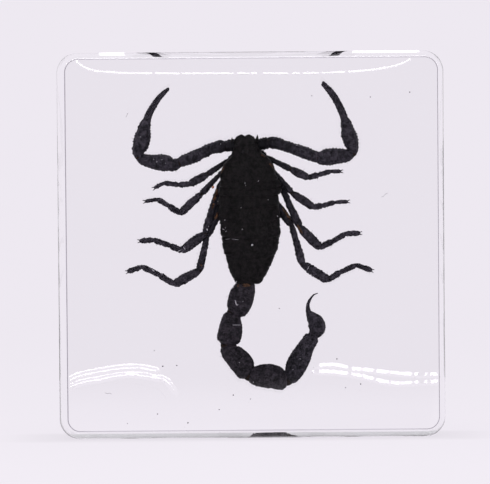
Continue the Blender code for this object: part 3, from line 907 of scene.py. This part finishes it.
def skin_y(x, z, from_behind=False):
    """Where the trunk's skin lies at x and z, on the back or, from behind, on the belly."""
    start, way = (SPECIMEN_Y + 20, -1) if from_behind else (SPECIMEN_Y - 20, 1)
    hit = BODY_SKIN.ray_cast(Vector((x, start, z)), Vector((0, way, 0)))[0]
    return hit.y if hit else SPECIMEN_Y


def jaws():
    shape = Shape()
    for side in (-1, 1):
        for rows, sides in zip(JAW_PARTS, JAW_SIDES):
            placed = [(HEAD_MIDDLE + side * x, SPECIMEN_Y + y, z, wide, deep) for x, y, z, wide, deep in rows]
            relief = keels([], 0.0, beads=1, pits=0.05, seed=side)
            tube(shape, spline(placed, 0.12), sides, relief, domes=(0.4, 0.6))
    of_specimen(shape.finish("jaws", BODY_CUTICLE, smooth_below=50))


def eyes():
    lens, tree = new_material("eye lens, smooth and glossy black")
    place = add(tree, "ShaderNodeTexCoord").outputs["Object"]
    cloud = add(tree, "ShaderNodeTexNoise", Vector=place, Scale=1 / (0.3 * MM))
    rough = add(tree, "ShaderNodeMapRange", Value=cloud, To_Min=0.05, To_Max=0.3)
    shader = add(tree, "ShaderNodeBsdfPrincipled", Base_Color=linear("#0a0807"), Roughness=rough, IOR=1.45)
    add(tree, "ShaderNodeOutputMaterial", Surface=shader)
    shape = Shape()
    for beside, z, radius in EYES:
        for x in (HEAD_MIDDLE - beside, HEAD_MIDDLE + beside):
            blob(shape, (x, skin_y(x, z) + radius * EYE_SINK, z), (radius,) * 3, 10, 18)
    of_specimen(shape.finish("eyes", lens))


jaws()
eyes()


# ---- The underside ----
# The first joints of the eight legs lie against the belly, round a small breastplate. Behind that
# are two genital plates, the two toothed combs, and a pair of breathing slits in each belly plate.

UNDER_CUTICLE = cuticle("underside cuticle, dark brown", "#1b1512", "#463528")
UNDER_MIDDLE = HEAD_MIDDLE + 0.15
# Where each leg's first joint starts, as (x beside the midline, z), from the first leg to the fourth.
COXA_STARTS = [(0.5, 56.0), (0.55, 54.5), (0.85, 52.5), (1.15, 50.7)]
COXA_PROFILE = ((0.0, 0.5), (0.2, 0.8), (0.6, 0.92), (1.0, 0.8))  # (share of the length, half width)
# The breastplate, the genital plates behind it and the plate that the combs grow from, as (x beside the
# midline, z, half width, half height). What isn't on the midline is there on both sides.
BREASTPLATE = [(0.0, 50.9, 0.6, 0.95), (0.42, 49.55, 0.42, 0.4), (0.0, 48.8, 0.95, 0.36)]
PLATE_DEPTH = 0.4
# (x beside the midline, z, half width) along a comb, from its root to its tip.
COMB = [(0.45, 48.8, 0.34), (1.3, 48.1, 0.36), (2.4, 46.9, 0.3), (3.3, 45.6, 0.24), (4.0, 44.4, 0.15)]
COMB_TEETH, TEETH_FROM, TEETH_TO = 17, 0.12, 0.97  # shares of the comb's length
TOOTH_LENGTH, TOOTH_WIDTH = 0.85, 0.12
TOOTH_LOSS = 0.45  # how much shorter the teeth get along the comb, as a share of their length
TOOTH_PROFILE = ((0, 0.8), (0.5, 0.9), (0.85, 1.0), (1.0, 0.8))  # (share of the length, share of the width)
SLIT_LENGTH, SLIT_WIDTH = 0.55, 0.11  # half sizes of a breathing slit's rim
SLIT_BESIDE, SLIT_LEAN = 0.55, 0.12  # how far out it lies as a share of the trunk's half width, and its rise


def coxae(shape):
    for name, joints in LEGS.items():
        side = -1 if name.startswith("left") else 1
        beside, z = COXA_STARTS[int(name[-1]) - 1]
        start, end = np.array((UNDER_MIDDLE + side * beside, z)), np.array(joints[0])
        rows = []
        for share, wide in COXA_PROFILE:
            x, z = start * (1 - share) + end * share
            rows.append((x, skin_y(x, z, True) - 0.1, z, wide, 0.55))
        relief = keels([math.pi / 2], 0.1, beads=6, reach=0.4, pits=0.05, seed=end[0])
        tube(shape, spline(rows, 0.2), 24, relief)


def comb(shape, side):
    arc = []
    for beside, z, wide in COMB:
        x = UNDER_MIDDLE + side * beside
        arc.append((x, skin_y(x, z, True) + 0.18, z, wide, 0.16))
    tube(shape, spline(arc, 0.15), 14)
    line = spline(arc, 0.05)
    for at in np.linspace(TEETH_FROM, TEETH_TO, COMB_TEETH):
        i = int(at * (len(line) - 2))
        along = Vector(line[i + 1][:3] - line[i][:3]).normalized()
        out = along.cross(Vector((0, 1, 0))) * -side
        foot = Vector(line[i][:3]) + out * line[i][3] * 0.6
        length = TOOTH_LENGTH * (1 - TOOTH_LOSS * at)
        rows = [(*(foot + out * length * k), TOOTH_WIDTH * w, TOOTH_WIDTH * w) for k, w in TOOTH_PROFILE]
        tube(shape, rows, 8)


def slits(shape):
    for rear, front in zip(BELLY_PLATES, BELLY_PLATES[1:-1]):
        middle, wide, _ = trunk_level((rear + front) / 2)
        for side in (-1, 1):
            rows = []
            for k, gape in ((-1, 0.5), (0, 1.0), (1, 0.5)):
                x = middle + side * (SLIT_BESIDE * wide + k * SLIT_LENGTH)
                z = (rear + front) / 2 + SLIT_LEAN * k
                rows.append((x, skin_y(x, z, True), z, SLIT_WIDTH * gape, 0.1))
            tube(shape, spline(rows, 0.1), 10)


def underside():
    shape = Shape()
    coxae(shape)
    for beside, z, wide, high in BREASTPLATE:
        for side in (-1, 1) if beside else (1,):
            x = UNDER_MIDDLE + side * beside
            blob(shape, (x, skin_y(x, z, True), z), (wide, PLATE_DEPTH, high), 12, 20)
    comb(shape, -1)
    comb(shape, 1)
    slits(shape)
    of_specimen(shape.finish("underside", UNDER_CUTICLE, smooth_below=50))


underside()


# ---- Granules and bristles ----
# Cuticle of this kind is rough with small hard grains, thickest on the trunk's back, and carries stiff
# sensory hairs on the arms, legs and tail. Both are grown over the finished skin.

GRAIN_RADIUS = 0.075
BRISTLE_LENGTH, BRISTLE_RADIUS = 0.75, 0.022
# What they grow on, how many to the square metre, how far apart, the largest's size, the belly's share.
GRAINS_ON = (
    (body, 5.5e6, 0.28, 1.25, 0.1), (arm_pieces, 3.6e6, 0.28, 1.4, 0.8), (tail_piece, 2.8e6, 0.32, 1.25, 0.6),
)
BRISTLES_ON = ((leg_pieces, 2.2e5), (arm_pieces, 1.1e5), (tail_piece, 1.1e5))
BRISTLES_APART = 0.9
FIRST_GRAIN_SEED, FIRST_BRISTLE_SEED = 3, 11


def scatter_tree():
    """A node tree that grows copies of an object out of a skin, along its normals, and its sockets."""
    tree = bpy.data.node_groups.new("grown over the skin", "GeometryNodeTree")
    sockets = {}
    for name, kind in (
        ("Skin", "Geometry"), ("Grain", "Object"), ("Per Square Metre", "Float"), ("Apart", "Float"),
        ("Seed", "Int"), ("Smallest", "Float"), ("Largest", "Float"), ("Lean", "Float"),
        ("Belly Share", "Float"), ("Finish", "Material"),
    ):
        socket = tree.interface.new_socket(name, in_out="INPUT", socket_type="NodeSocket" + kind)
        sockets[name] = socket.identifier
    tree.interface.new_socket("Grown", in_out="OUTPUT", socket_type="NodeSocketGeometry")
    given = add(tree, "NodeGroupInput").outputs
    facing = add(tree, "ShaderNodeSeparateXYZ", Vector=add(tree, "GeometryNodeInputNormal")).outputs["Y"]
    share = add(
        tree, "ShaderNodeMapRange",
        Value=facing, From_Min=0.5, From_Max=-0.3, To_Min=given["Belly Share"], To_Max=1.0,
    )
    spots = add(
        tree, "GeometryNodeDistributePointsOnFaces", {"distribute_method": "POISSON"},
        Mesh=given["Skin"], Distance_Min=given["Apart"], Density_Max=given["Per Square Metre"],
        Density_Factor=share, Seed=given["Seed"],
    )
    back = add(tree, "ShaderNodeMath", {"operation": "MULTIPLY"}, _0=given["Lean"], _1=-1.0)
    least = add(tree, "ShaderNodeCombineXYZ", X=back, Y=back, Z=-math.pi)
    most = add(tree, "ShaderNodeCombineXYZ", X=given["Lean"], Y=given["Lean"], Z=math.pi)
    lean = add(
        tree, "FunctionNodeRandomValue", {"data_type": "FLOAT_VECTOR"}, _0=least, _1=most, Seed=given["Seed"]
    )
    turned = add(
        tree, "FunctionNodeRotateRotation", {"rotation_space": "LOCAL"},
        Rotation=spots.outputs["Rotation"], Rotate_By=add(tree, "FunctionNodeEulerToRotation", Euler=lean),
    )
    size = add(
        tree, "FunctionNodeRandomValue", {"data_type": "FLOAT"},
        _2=given["Smallest"], _3=given["Largest"], Seed=given["Seed"],
    )
    grain = add(tree, "GeometryNodeObjectInfo", Object=given["Grain"])
    grown = add(
        tree, "GeometryNodeInstanceOnPoints", Points=spots.outputs["Points"],
        Instance=grain.outputs["Geometry"], Rotation=turned, Scale=size.outputs[1],
    )
    real = add(tree, "GeometryNodeRealizeInstances", Geometry=grown)
    finished = add(tree, "GeometryNodeSetMaterial", Geometry=real, Material=given["Finish"])
    add(tree, "NodeGroupOutput", _0=finished)
    return tree, sockets


def grown_over(name, skin, **settings):
    """The points and faces, in millimetres, of what the tree grows over that piece."""
    carrier = bpy.data.objects.new(name, skin.data)
    bpy.context.scene.collection.objects.link(carrier)
    modifier = carrier.modifiers.new(name, "NODES")
    modifier.node_group = SCATTER
    for socket, value in settings.items():
        modifier[SCATTER_SOCKETS[socket.replace("_", " ")]] = value
    grown = bpy.data.meshes.new_from_object(carrier.evaluated_get(bpy.context.evaluated_depsgraph_get()))
    carrier.modifiers.remove(modifier)
    bpy.data.objects.remove(carrier)
    return form_of(grown)


def small_form(name, make, **sizes):
    """A little object, in no scene, that the tree copies."""
    shape = bmesh.new()
    make(shape, **sizes)
    mesh = bpy.data.meshes.new(name)
    shape.to_mesh(mesh)
    shape.free()
    return bpy.data.objects.new(name, mesh)


SCATTER, SCATTER_SOCKETS = scatter_tree()
GRAIN = small_form("grain", bmesh.ops.create_icosphere, subdivisions=1, radius=GRAIN_RADIUS * MM)
HAIR = small_form(
    "hair", bmesh.ops.create_cone, cap_ends=True, segments=5, radius1=BRISTLE_RADIUS * MM,
    radius2=BRISTLE_RADIUS * 0.25 * MM, depth=BRISTLE_LENGTH * MM,
    matrix=Matrix.Translation((0, 0, BRISTLE_LENGTH * MM / 2)),
)


def granules():
    shape = Shape()
    for seed, (skin, dense, apart, largest, belly) in enumerate(GRAINS_ON, FIRST_GRAIN_SEED):
        grown = grown_over(
            "granules", skin, Grain=GRAIN, Per_Square_Metre=dense, Apart=apart * MM, Seed=seed,
            Smallest=0.35, Largest=largest, Lean=0.0, Belly_Share=belly, Finish=BODY_CUTICLE,
        )
        shape.add(*grown, paint=0 if skin is body else 1)
    of_specimen(shape.finish("granules", BODY_CUTICLE, LIMB_CUTICLE))


def bristles():
    hair = patched("bristle, stiff and brown", "#1a1210", "#4a3020", 0.8, Roughness=0.45, IOR=1.2)
    shape = Shape()
    for seed, (skin, dense) in enumerate(BRISTLES_ON, FIRST_BRISTLE_SEED):
        shape.add(*grown_over(
            "bristles", skin, Grain=HAIR, Per_Square_Metre=dense, Apart=BRISTLES_APART * MM, Seed=seed,
            Smallest=0.5, Largest=1.1, Lean=0.6, Belly_Share=1.0, Finish=hair,
        ))
    of_specimen(shape.finish("bristles", hair))


granules()
bristles()


# ---- Dried skin and trapped air ----
# Between the parts, thin skin dried to amber flakes that light shines through. Pale broken scales and specks
# of trapped air cling to the cuticle, the air's silvery shine a painted glint, and a few parts have cracked.

# (x, z, half width, half height, turn in degrees) of each flake and speck as seen from the front.
AMBER_FLAKES = [(-7.36, 48.85, 0.28, 0.19, 70), (-7.2, 46.6, 0.22, 0.1, 70), (-6.75, 43.3, 0.25, 0.1, 60)]
BROWN_SKIN = [
    (-5.5, 52.2, 0.8, 0.22, 65), (-6.9, 47.3, 1.3, 0.3, 74), (-7.4, 45.2, 0.7, 0.22, 74),
    (-6.8, 43.2, 0.8, 0.3, 65), (2.5, 54.9, 0.5, 0.14, -35), (4.2, 52.9, 0.9, 0.2, -48),
    (7.05, 43.4, 1.4, 0.24, -55), (9.5, 40.6, 1.1, 0.24, -60), (-1.1, 29.65, 0.85, 0.32, 0),
    (-2.6, 29.6, 0.3, 0.2, 40), (-1.9, 58.6, 0.5, 0.16, 20), (-9.8, 33.6, 0.4, 0.12, -60),
]
# Specks of pale scale, and of trapped air whose silvery glint is painted into their colour.
SCALES_AND_AIR_GLINTS = [
    (-1.1, 49.6, 0.1, 0.06, 60), (-1.0, 49.2, 0.06, 0.05, 0), (1.5, 50.0, 0.12, 0.05, 10),
    (3.4, 46.3, 0.07, 0.06, 0), (-1.9, 44.8, 0.07, 0.06, 0), (5.2, 43.1, 0.08, 0.12, 0),
    (-5.1, 42.4, 0.09, 0.06, 20), (-1.7, 40.6, 0.13, 0.06, 0), (-5.4, 40.6, 0.22, 0.05, -35),
    (-4.9, 40.2, 0.14, 0.05, 40), (-5.0, 40.9, 0.06, 0.06, 0), (0.2, 37.5, 0.2, 0.17, 30),
    (-8.6, 40.6, 0.12, 0.24, 20), (-8.3, 41.2, 0.06, 0.1, 0), (-2.5, 14.6, 0.1, 0.07, 0),
    (0.2, 10.7, 0.1, 0.08, 0), (-21.5, 58.8, 0.09, 0.07, 0), (-18.3, 53.9, 0.1, 0.07, 0),
    (-17.3, 54.3, 0.08, 0.06, 0), (-18.9, 54.4, 0.06, 0.06, 0), (-16.6, 53.6, 0.06, 0.05, 0),
    (-5.8, 57.3, 0.07, 0.06, 0), (9.1, 56.9, 0.07, 0.05, 0), (17.6, 56.3, 0.06, 0.06, 0),
    (-10.6, 35.9, 0.07, 0.05, 0), (9.4, 15.2, 0.07, 0.06, 0), (8.0, 13.1, 0.06, 0.06, 0),
    (-1.7, 26.5, 0.06, 0.05, 0), (-4.6, 38.7, 0.5, 0.022, 4), (-3.1, 38.62, 0.7, 0.024, -4),
    (-14.1, 36.45, 0.5, 0.05, 28), (-13.6, 36.2, 0.3, 0.04, 20), (-2.95, 21.9, 0.85, 0.05, 0),
    (-3.1, 26.3, 0.1, 0.5, 15), (-2.85, 25.85, 0.3, 0.08, 0), (-3.6, 29.3, 0.22, 0.09, 50),
    (-3.0, 30.3, 0.26, 0.08, 50), (11.1, 32.9, 0.5, 0.05, 60), (-13.1, 37.0, 0.4, 0.05, -55),
    (-19.2, 32.7, 0.32, 0.1, -40), (-17.5, 32.0, 0.22, 0.05, -50),
]
FLAKE_THICKNESS = 0.09
FLAKE_LIFT = 0.3  # how far a flake's middle stands out of the skin, as a share of its thickness
TORN = 0.35  # how far its torn edge strays
AMBER_SKIN = soft_skin("joint skin, thin dried amber", "#6b3010", "#d9741f", 0.4)
THICK_SKIN = soft_skin("joint skin, dried brown", "#211815", "#6b4f3c", 0.0)


def front_y(x, z, skins):
    """The foremost skin at x and z."""
    hits = [skin.ray_cast(Vector((x, SPECIMEN_Y - 20, z)), Vector((0, 1, 0)))[0] for skin in skins]
    return min([hit.y for hit in hits if hit], default=SPECIMEN_Y)


def flake(shape, skins, x, z, wide, high, turn, paint):
    """A torn scrap that lies on the foremost skin."""
    form = Shape()
    blob(form, (0, 0, 0), (wide, FLAKE_THICKNESS, high), 8, 14)
    cos, sin = math.cos(math.radians(turn)), math.sin(math.radians(turn))
    placed = []
    for px, py, pz in form.points:
        across, up = px * cos - pz * sin, px * sin + pz * cos
        torn = 1 + TORN * noise.noise((across * 5, up * 5, x))
        base = front_y(x + across * torn, z + up * torn, skins)
        placed.append((x + across * torn, base - FLAKE_THICKNESS * FLAKE_LIFT + py, z + up * torn))
    shape.add(placed, form.faces, paint)


def flakes():
    skins = [skin_of(piece) for piece in (body, arm_pieces, leg_pieces, tail_piece)]
    # Pale scales, and trapped air whose silvery shine is painted into the colour as a glint.
    air = patched(
        "broken scale, and trapped air with a painted silvery glint", "#a19da8", "#f6f4fa", 0.25, Roughness=0.3, IOR=1.4
    )
    shape = Shape()
    for paint, marks in enumerate((SCALES_AND_AIR_GLINTS, AMBER_FLAKES, BROWN_SKIN)):
        for mark in marks:
            flake(shape, skins, *mark, paint)
    of_specimen(shape.finish("dried_skin", air, AMBER_SKIN, THICK_SKIN))


flakes()


# ---- Dust in the resin ----
# Specks of lint and dirt that fell in between the pours, dark against the light. Each lies at a
# depth of its own.

# (x, z, half width) of each speck that can be made out from the front.
DUST = [
    (31.3, 67.2, 0.13), (23.5, 66.2, 0.12), (12.0, 66.4, 0.1), (5.4, 25.1, 0.12), (-3.7, 8.4, 0.12),
    (-0.4, 7.4, 0.1), (-18.5, 4.7, 0.11), (-6.5, 5.3, 0.11), (-17.4, 14.0, 0.14), (-19.1, 17.0, 0.1),
    (-14.7, 14.1, 0.13), (-24.5, 2.7, 0.1), (16.6, 15.1, 0.13), (21.1, 10.3, 0.13), (18.3, 9.4, 0.12),
    (31.8, 11.5, 0.13), (-12.6, 2.9, 0.15),
]
# (x, z, half length, turn in degrees) of each thread of lint.
LINT = [(-28.0, 8.9, 0.6, -8), (26.0, 47.0, 0.7, 35), (-24.0, 63.0, 0.5, 60)]
LINT_RADIUS = 0.025
DUST_DEPTHS, LINT_DEPTHS = (-7, 9), (-6, -1)  # the range of y that they lie in
DUST_SEED = 5


def dust():
    random = np.random.default_rng(DUST_SEED)
    shape = Shape()
    for x, z, wide in DUST:
        middle = np.array((x, random.uniform(*DUST_DEPTHS), z))
        speck = Shape()
        blob(speck, (0, 0, 0), (wide, wide * 0.7, wide * random.uniform(0.7, 1.0)), 6, 10)
        points = []
        for p in speck.points:
            points.append(middle + np.array(p) * (1 + 0.5 * noise.noise(Vector(p) * 9 + Vector((x, z, 0)))))
        shape.add(points, speck.faces)
    for x, z, reach, turn in LINT:
        along = np.array((math.cos(math.radians(turn)), 0.0, math.sin(math.radians(turn))))
        y = random.uniform(*LINT_DEPTHS)
        rows = []
        for k in np.linspace(-1, 1, 9):
            place = np.array((x, y + 0.1 * math.sin(k * 5), z + 0.08 * math.sin(k * 4))) + along * reach * k
            rows.append((*place, LINT_RADIUS, LINT_RADIUS))
        tube(shape, rows, 6)
    lint = patched("lint and dirt, dark grey", "#2c2830", "#6d6673", 0.1, Roughness=0.8, IOR=1.2)
    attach(shape.finish("dust", lint), "root")


dust()


# ---- Floor, light and camera ----
# A floor of pale paper, swept up into a wall all round, under soft lights. Cards that only the resin's
# mirrored rays meet give its edges their tones.

BOWL_FLOOR, BOWL_HEIGHT, BOWL_CURVE = 1300.0, 1500.0, 700.0
BOWL_SIDES, BOWL_CURVE_STEPS = 96, 16
GLOW = 0.94  # the soft light that the paper sends back from all round
# The block's shade on the floor is painted into the paper's glow.
SHADE_REACH = 14.0  # how far the block's faint shade reaches on the floor
SHADE_DEEPEST = 0.93  # what is left of the light against the block


def backdrop_paper():
    """Pale matt paper with a soft glow, and a painted shade in it round the block's foot."""
    made, tree = new_material("pale backdrop paper")
    place = add(tree, "ShaderNodeSeparateXYZ", Vector=add(tree, "ShaderNodeTexCoord").outputs["Object"])
    gaps = {}
    for axis, near, far in (("X", -BLOCK_MIDDLE, BLOCK_MIDDLE), ("Y", BLOCK_FRONT, BLOCK_BACK)):
        middle, half = (near + far) / 2 * MM, (far - near) / 2 * MM
        off = add(tree, "ShaderNodeMath", {"operation": "SUBTRACT"}, _0=place.outputs[axis], _1=middle)
        away = add(tree, "ShaderNodeMath", {"operation": "ABSOLUTE"}, _0=off)
        gap = add(tree, "ShaderNodeMath", {"operation": "SUBTRACT"}, _0=away, _1=half)
        gaps[axis] = add(tree, "ShaderNodeMath", {"operation": "MAXIMUM"}, _0=gap, _1=0.0)
    gap = add(tree, "ShaderNodeCombineXYZ", **gaps)
    gap = add(tree, "ShaderNodeVectorMath", {"operation": "LENGTH"}, _0=gap)
    shade = add(
        tree, "ShaderNodeMapRange", {"interpolation_type": "SMOOTHSTEP"},
        Value=gap.outputs["Value"], From_Max=SHADE_REACH * MM, To_Min=SHADE_DEEPEST * GLOW, To_Max=GLOW,
    )
    diffuse = add(tree, "ShaderNodeBsdfDiffuse", Color=(0.05, 0.05, 0.05, 1))
    glow = add(tree, "ShaderNodeEmission", Color=linear("#efeaf2"), Strength=shade)
    add(tree, "ShaderNodeOutputMaterial", Surface=add(tree, "ShaderNodeAddShader", _0=diffuse, _1=glow))
    return made


def studio_bowl():
    profile = [(BOWL_FLOOR * 0.5, 0.0), (BOWL_FLOOR, 0.0)]
    for step in range(1, BOWL_CURVE_STEPS + 1):
        turn = math.pi / 2 * step / BOWL_CURVE_STEPS
        profile.append((BOWL_FLOOR + BOWL_CURVE * math.sin(turn), BOWL_CURVE * (1 - math.cos(turn))))
    profile.append((BOWL_FLOOR + BOWL_CURVE, BOWL_CURVE + BOWL_HEIGHT))
    points = [(0.0, 0.0, 0.0)]
    for radius, height in profile:
        for i in range(BOWL_SIDES):
            turn = 2 * math.pi * i / BOWL_SIDES
            points.append((radius * math.cos(turn), radius * math.sin(turn), height))
    shape = Shape()
    floor = [(0, 1 + i, 1 + (i + 1) % BOWL_SIDES) for i in range(BOWL_SIDES)]
    shape.add(points, floor + ring_faces(len(profile), BOWL_SIDES, 1))
    shape.finish("studio_bowl", backdrop_paper())


studio_bowl()

world = bpy.data.worlds.new("studio air")
world.use_nodes = True
world.node_tree.nodes["Background"].inputs["Color"].default_value = linear("#eeecf2")
world.node_tree.nodes["Background"].inputs["Strength"].default_value = 0.8
bpy.context.scene.world = world

# Name, place, what it's turned to, width, height and radiance.
SOFTBOXES = (
    ("overhead_softbox", (-40, -330, 640), (0, 0, 40), 560, 420, 3.5),
    ("face_softbox", (-20, -700, 310), (0, 0, 40), 700, 260, 6.0),
    ("rear_strip_right", (44, 500, 335), (44, 0, 76), 21, 250, 2.6),
    ("rear_strip_left", (-43.6, 500, 376), (-43.6, 0, 76), 8, 330, 2.6),
)


def softbox(name, place, aim, width, height, radiance):
    """A soft light. The resin mirrors it, but shows no image of it through itself."""
    light = bpy.data.lights.new(name, "AREA")
    light.shape = "RECTANGLE"
    light.size, light.size_y = width * MM, height * MM
    light.energy = radiance * math.pi * light.size * light.size_y
    made = bpy.data.objects.new(name, light)
    made.location = Vector(place) * MM
    made.rotation_euler = (Vector(aim) * MM - made.location).to_track_quat("-Z", "Y").to_euler()
    made.visible_transmission = False
    bpy.context.scene.collection.objects.link(made)


for box in SOFTBOXES:
    softbox(*box)


def unseen_card(name, corners, faces, material):
    """A card that only mirrored rays meet."""
    shape = Shape()
    shape.add(corners, faces)
    made = shape.finish(name, material, flat=True)
    made.visible_camera = made.visible_shadow = made.visible_transmission = False


# Flags behind the block: a wide grey one on each side, which draws a line along that side, and two
# narrow dark ones between the strip lights, which the top edge mirrors.
# Name, how pale, and where each stands: left, right, distance behind, bottom and top.
FLAGS = (
    ("flag_left", 0.42, -200, -74, 300, 2, 160),
    ("flag_right", 0.42, 74, 200, 300, 2, 160),
    ("narrow_flag_left", 0.01, -34.5, -27, 500, 200, 640),
    ("narrow_flag_right", 0.01, 24.5, 31, 500, 200, 640),
)


def flag(name, tone, left, right, far, bottom, top):
    cloth, tree = new_material(name + " cloth")
    diffuse = add(tree, "ShaderNodeBsdfDiffuse", Color=(tone, tone, tone, 1))
    add(tree, "ShaderNodeOutputMaterial", Surface=diffuse)
    corners = [(left, far, bottom), (right, far, bottom), (right, far, top), (left, far, top)]
    unseen_card(name, corners, [(0, 1, 2, 3)], cloth)


for each in FLAGS:
    flag(*each)

FOOT_REACH = (-2.0, 3.6)  # where the foot card starts and ends, behind the block's front face
FOOT_MARGIN, FOOT_LEVEL = 1.0, 0.01
# Its painted shade is darkest below the tail's mirrored image: (where it starts to get paler, where it ends,
# darkest, palest).
FOOT_TONES, FOOT_DARKEST = (8.0, 20.0, 0.43, 0.64), -2.5


def foot_card():
    """A grey card laid on the floor against the block's foot, which its bottom curve mirrors: painted shade
    where the two meet.
    """
    card, tree = new_material("grey card")
    tone = sideways(tree, *FOOT_TONES, middle=FOOT_DARKEST)
    diffuse = add(tree, "ShaderNodeBsdfDiffuse", Color=tone)
    add(tree, "ShaderNodeOutputMaterial", Surface=diffuse)
    near, far = (BLOCK_FRONT + y for y in FOOT_REACH)
    half = BLOCK_MIDDLE - FOOT_MARGIN
    corners = [(-half, near), (half, near), (half, far), (-half, far)]
    unseen_card("foot_card", [(x, y, FOOT_LEVEL) for x, y in corners], [(0, 1, 2, 3)], card)


foot_card()


def black_card():
    """Black felt hung behind the camera and laid on the floor before it, which the block's face mirrors
    in place of the pale room. It thins out towards the block, between thinning and front.
    """
    half, top, back, thinning, front, lift = 160, 330, -1280, -420, -110, 1
    corners = [
        (-half, back, top), (half, back, top), (half, back, lift), (-half, back, lift), (half, front, lift),
        (-half, front, lift),
    ]
    felt, tree = new_material("black felt")
    along = add(tree, "ShaderNodeSeparateXYZ", Vector=add(tree, "ShaderNodeTexCoord").outputs["Object"])
    cover = add(
        tree, "ShaderNodeMapRange", {"interpolation_type": "SMOOTHSTEP"},
        Value=along.outputs["Y"], From_Min=front * MM, From_Max=thinning * MM,
    )
    bare = add(tree, "ShaderNodeBsdfTransparent")
    black = add(tree, "ShaderNodeBsdfDiffuse", Color=(0.01, 0.01, 0.01, 1))
    both = add(tree, "ShaderNodeMixShader", _0=cover, _1=bare, _2=black)
    add(tree, "ShaderNodeOutputMaterial", Surface=both)
    unseen_card("black_card", corners, [(0, 1, 2, 3), (3, 2, 4, 5)], felt)


black_card()

CAMERA_DISTANCE = 900.0  # in front of the block's front face
FRAME_WIDTH = 94.7  # width of the picture at the front face
CAMERA_OFFSET = (-1.2, 0.6)  # the block stands right of and below the picture's middle
CAMERA_ROLL = 0.45
SENSOR = 36.0

lens = bpy.data.cameras.new("camera")
lens.sensor_width = SENSOR
lens.lens = SENSOR * CAMERA_DISTANCE / FRAME_WIDTH
lens.clip_start, lens.clip_end = 0.01, 20
camera = bpy.data.objects.new("camera", lens)
beside, above = CAMERA_OFFSET
camera.location = Vector((beside, BLOCK_FRONT - CAMERA_DISTANCE, BLOCK_MIDDLE + above)) * MM
camera.rotation_euler = (math.pi / 2, math.radians(CAMERA_ROLL), 0)
bpy.context.scene.collection.objects.link(camera)
bpy.context.scene.camera = camera
bpy.context.scene.view_settings.view_transform = "Standard"
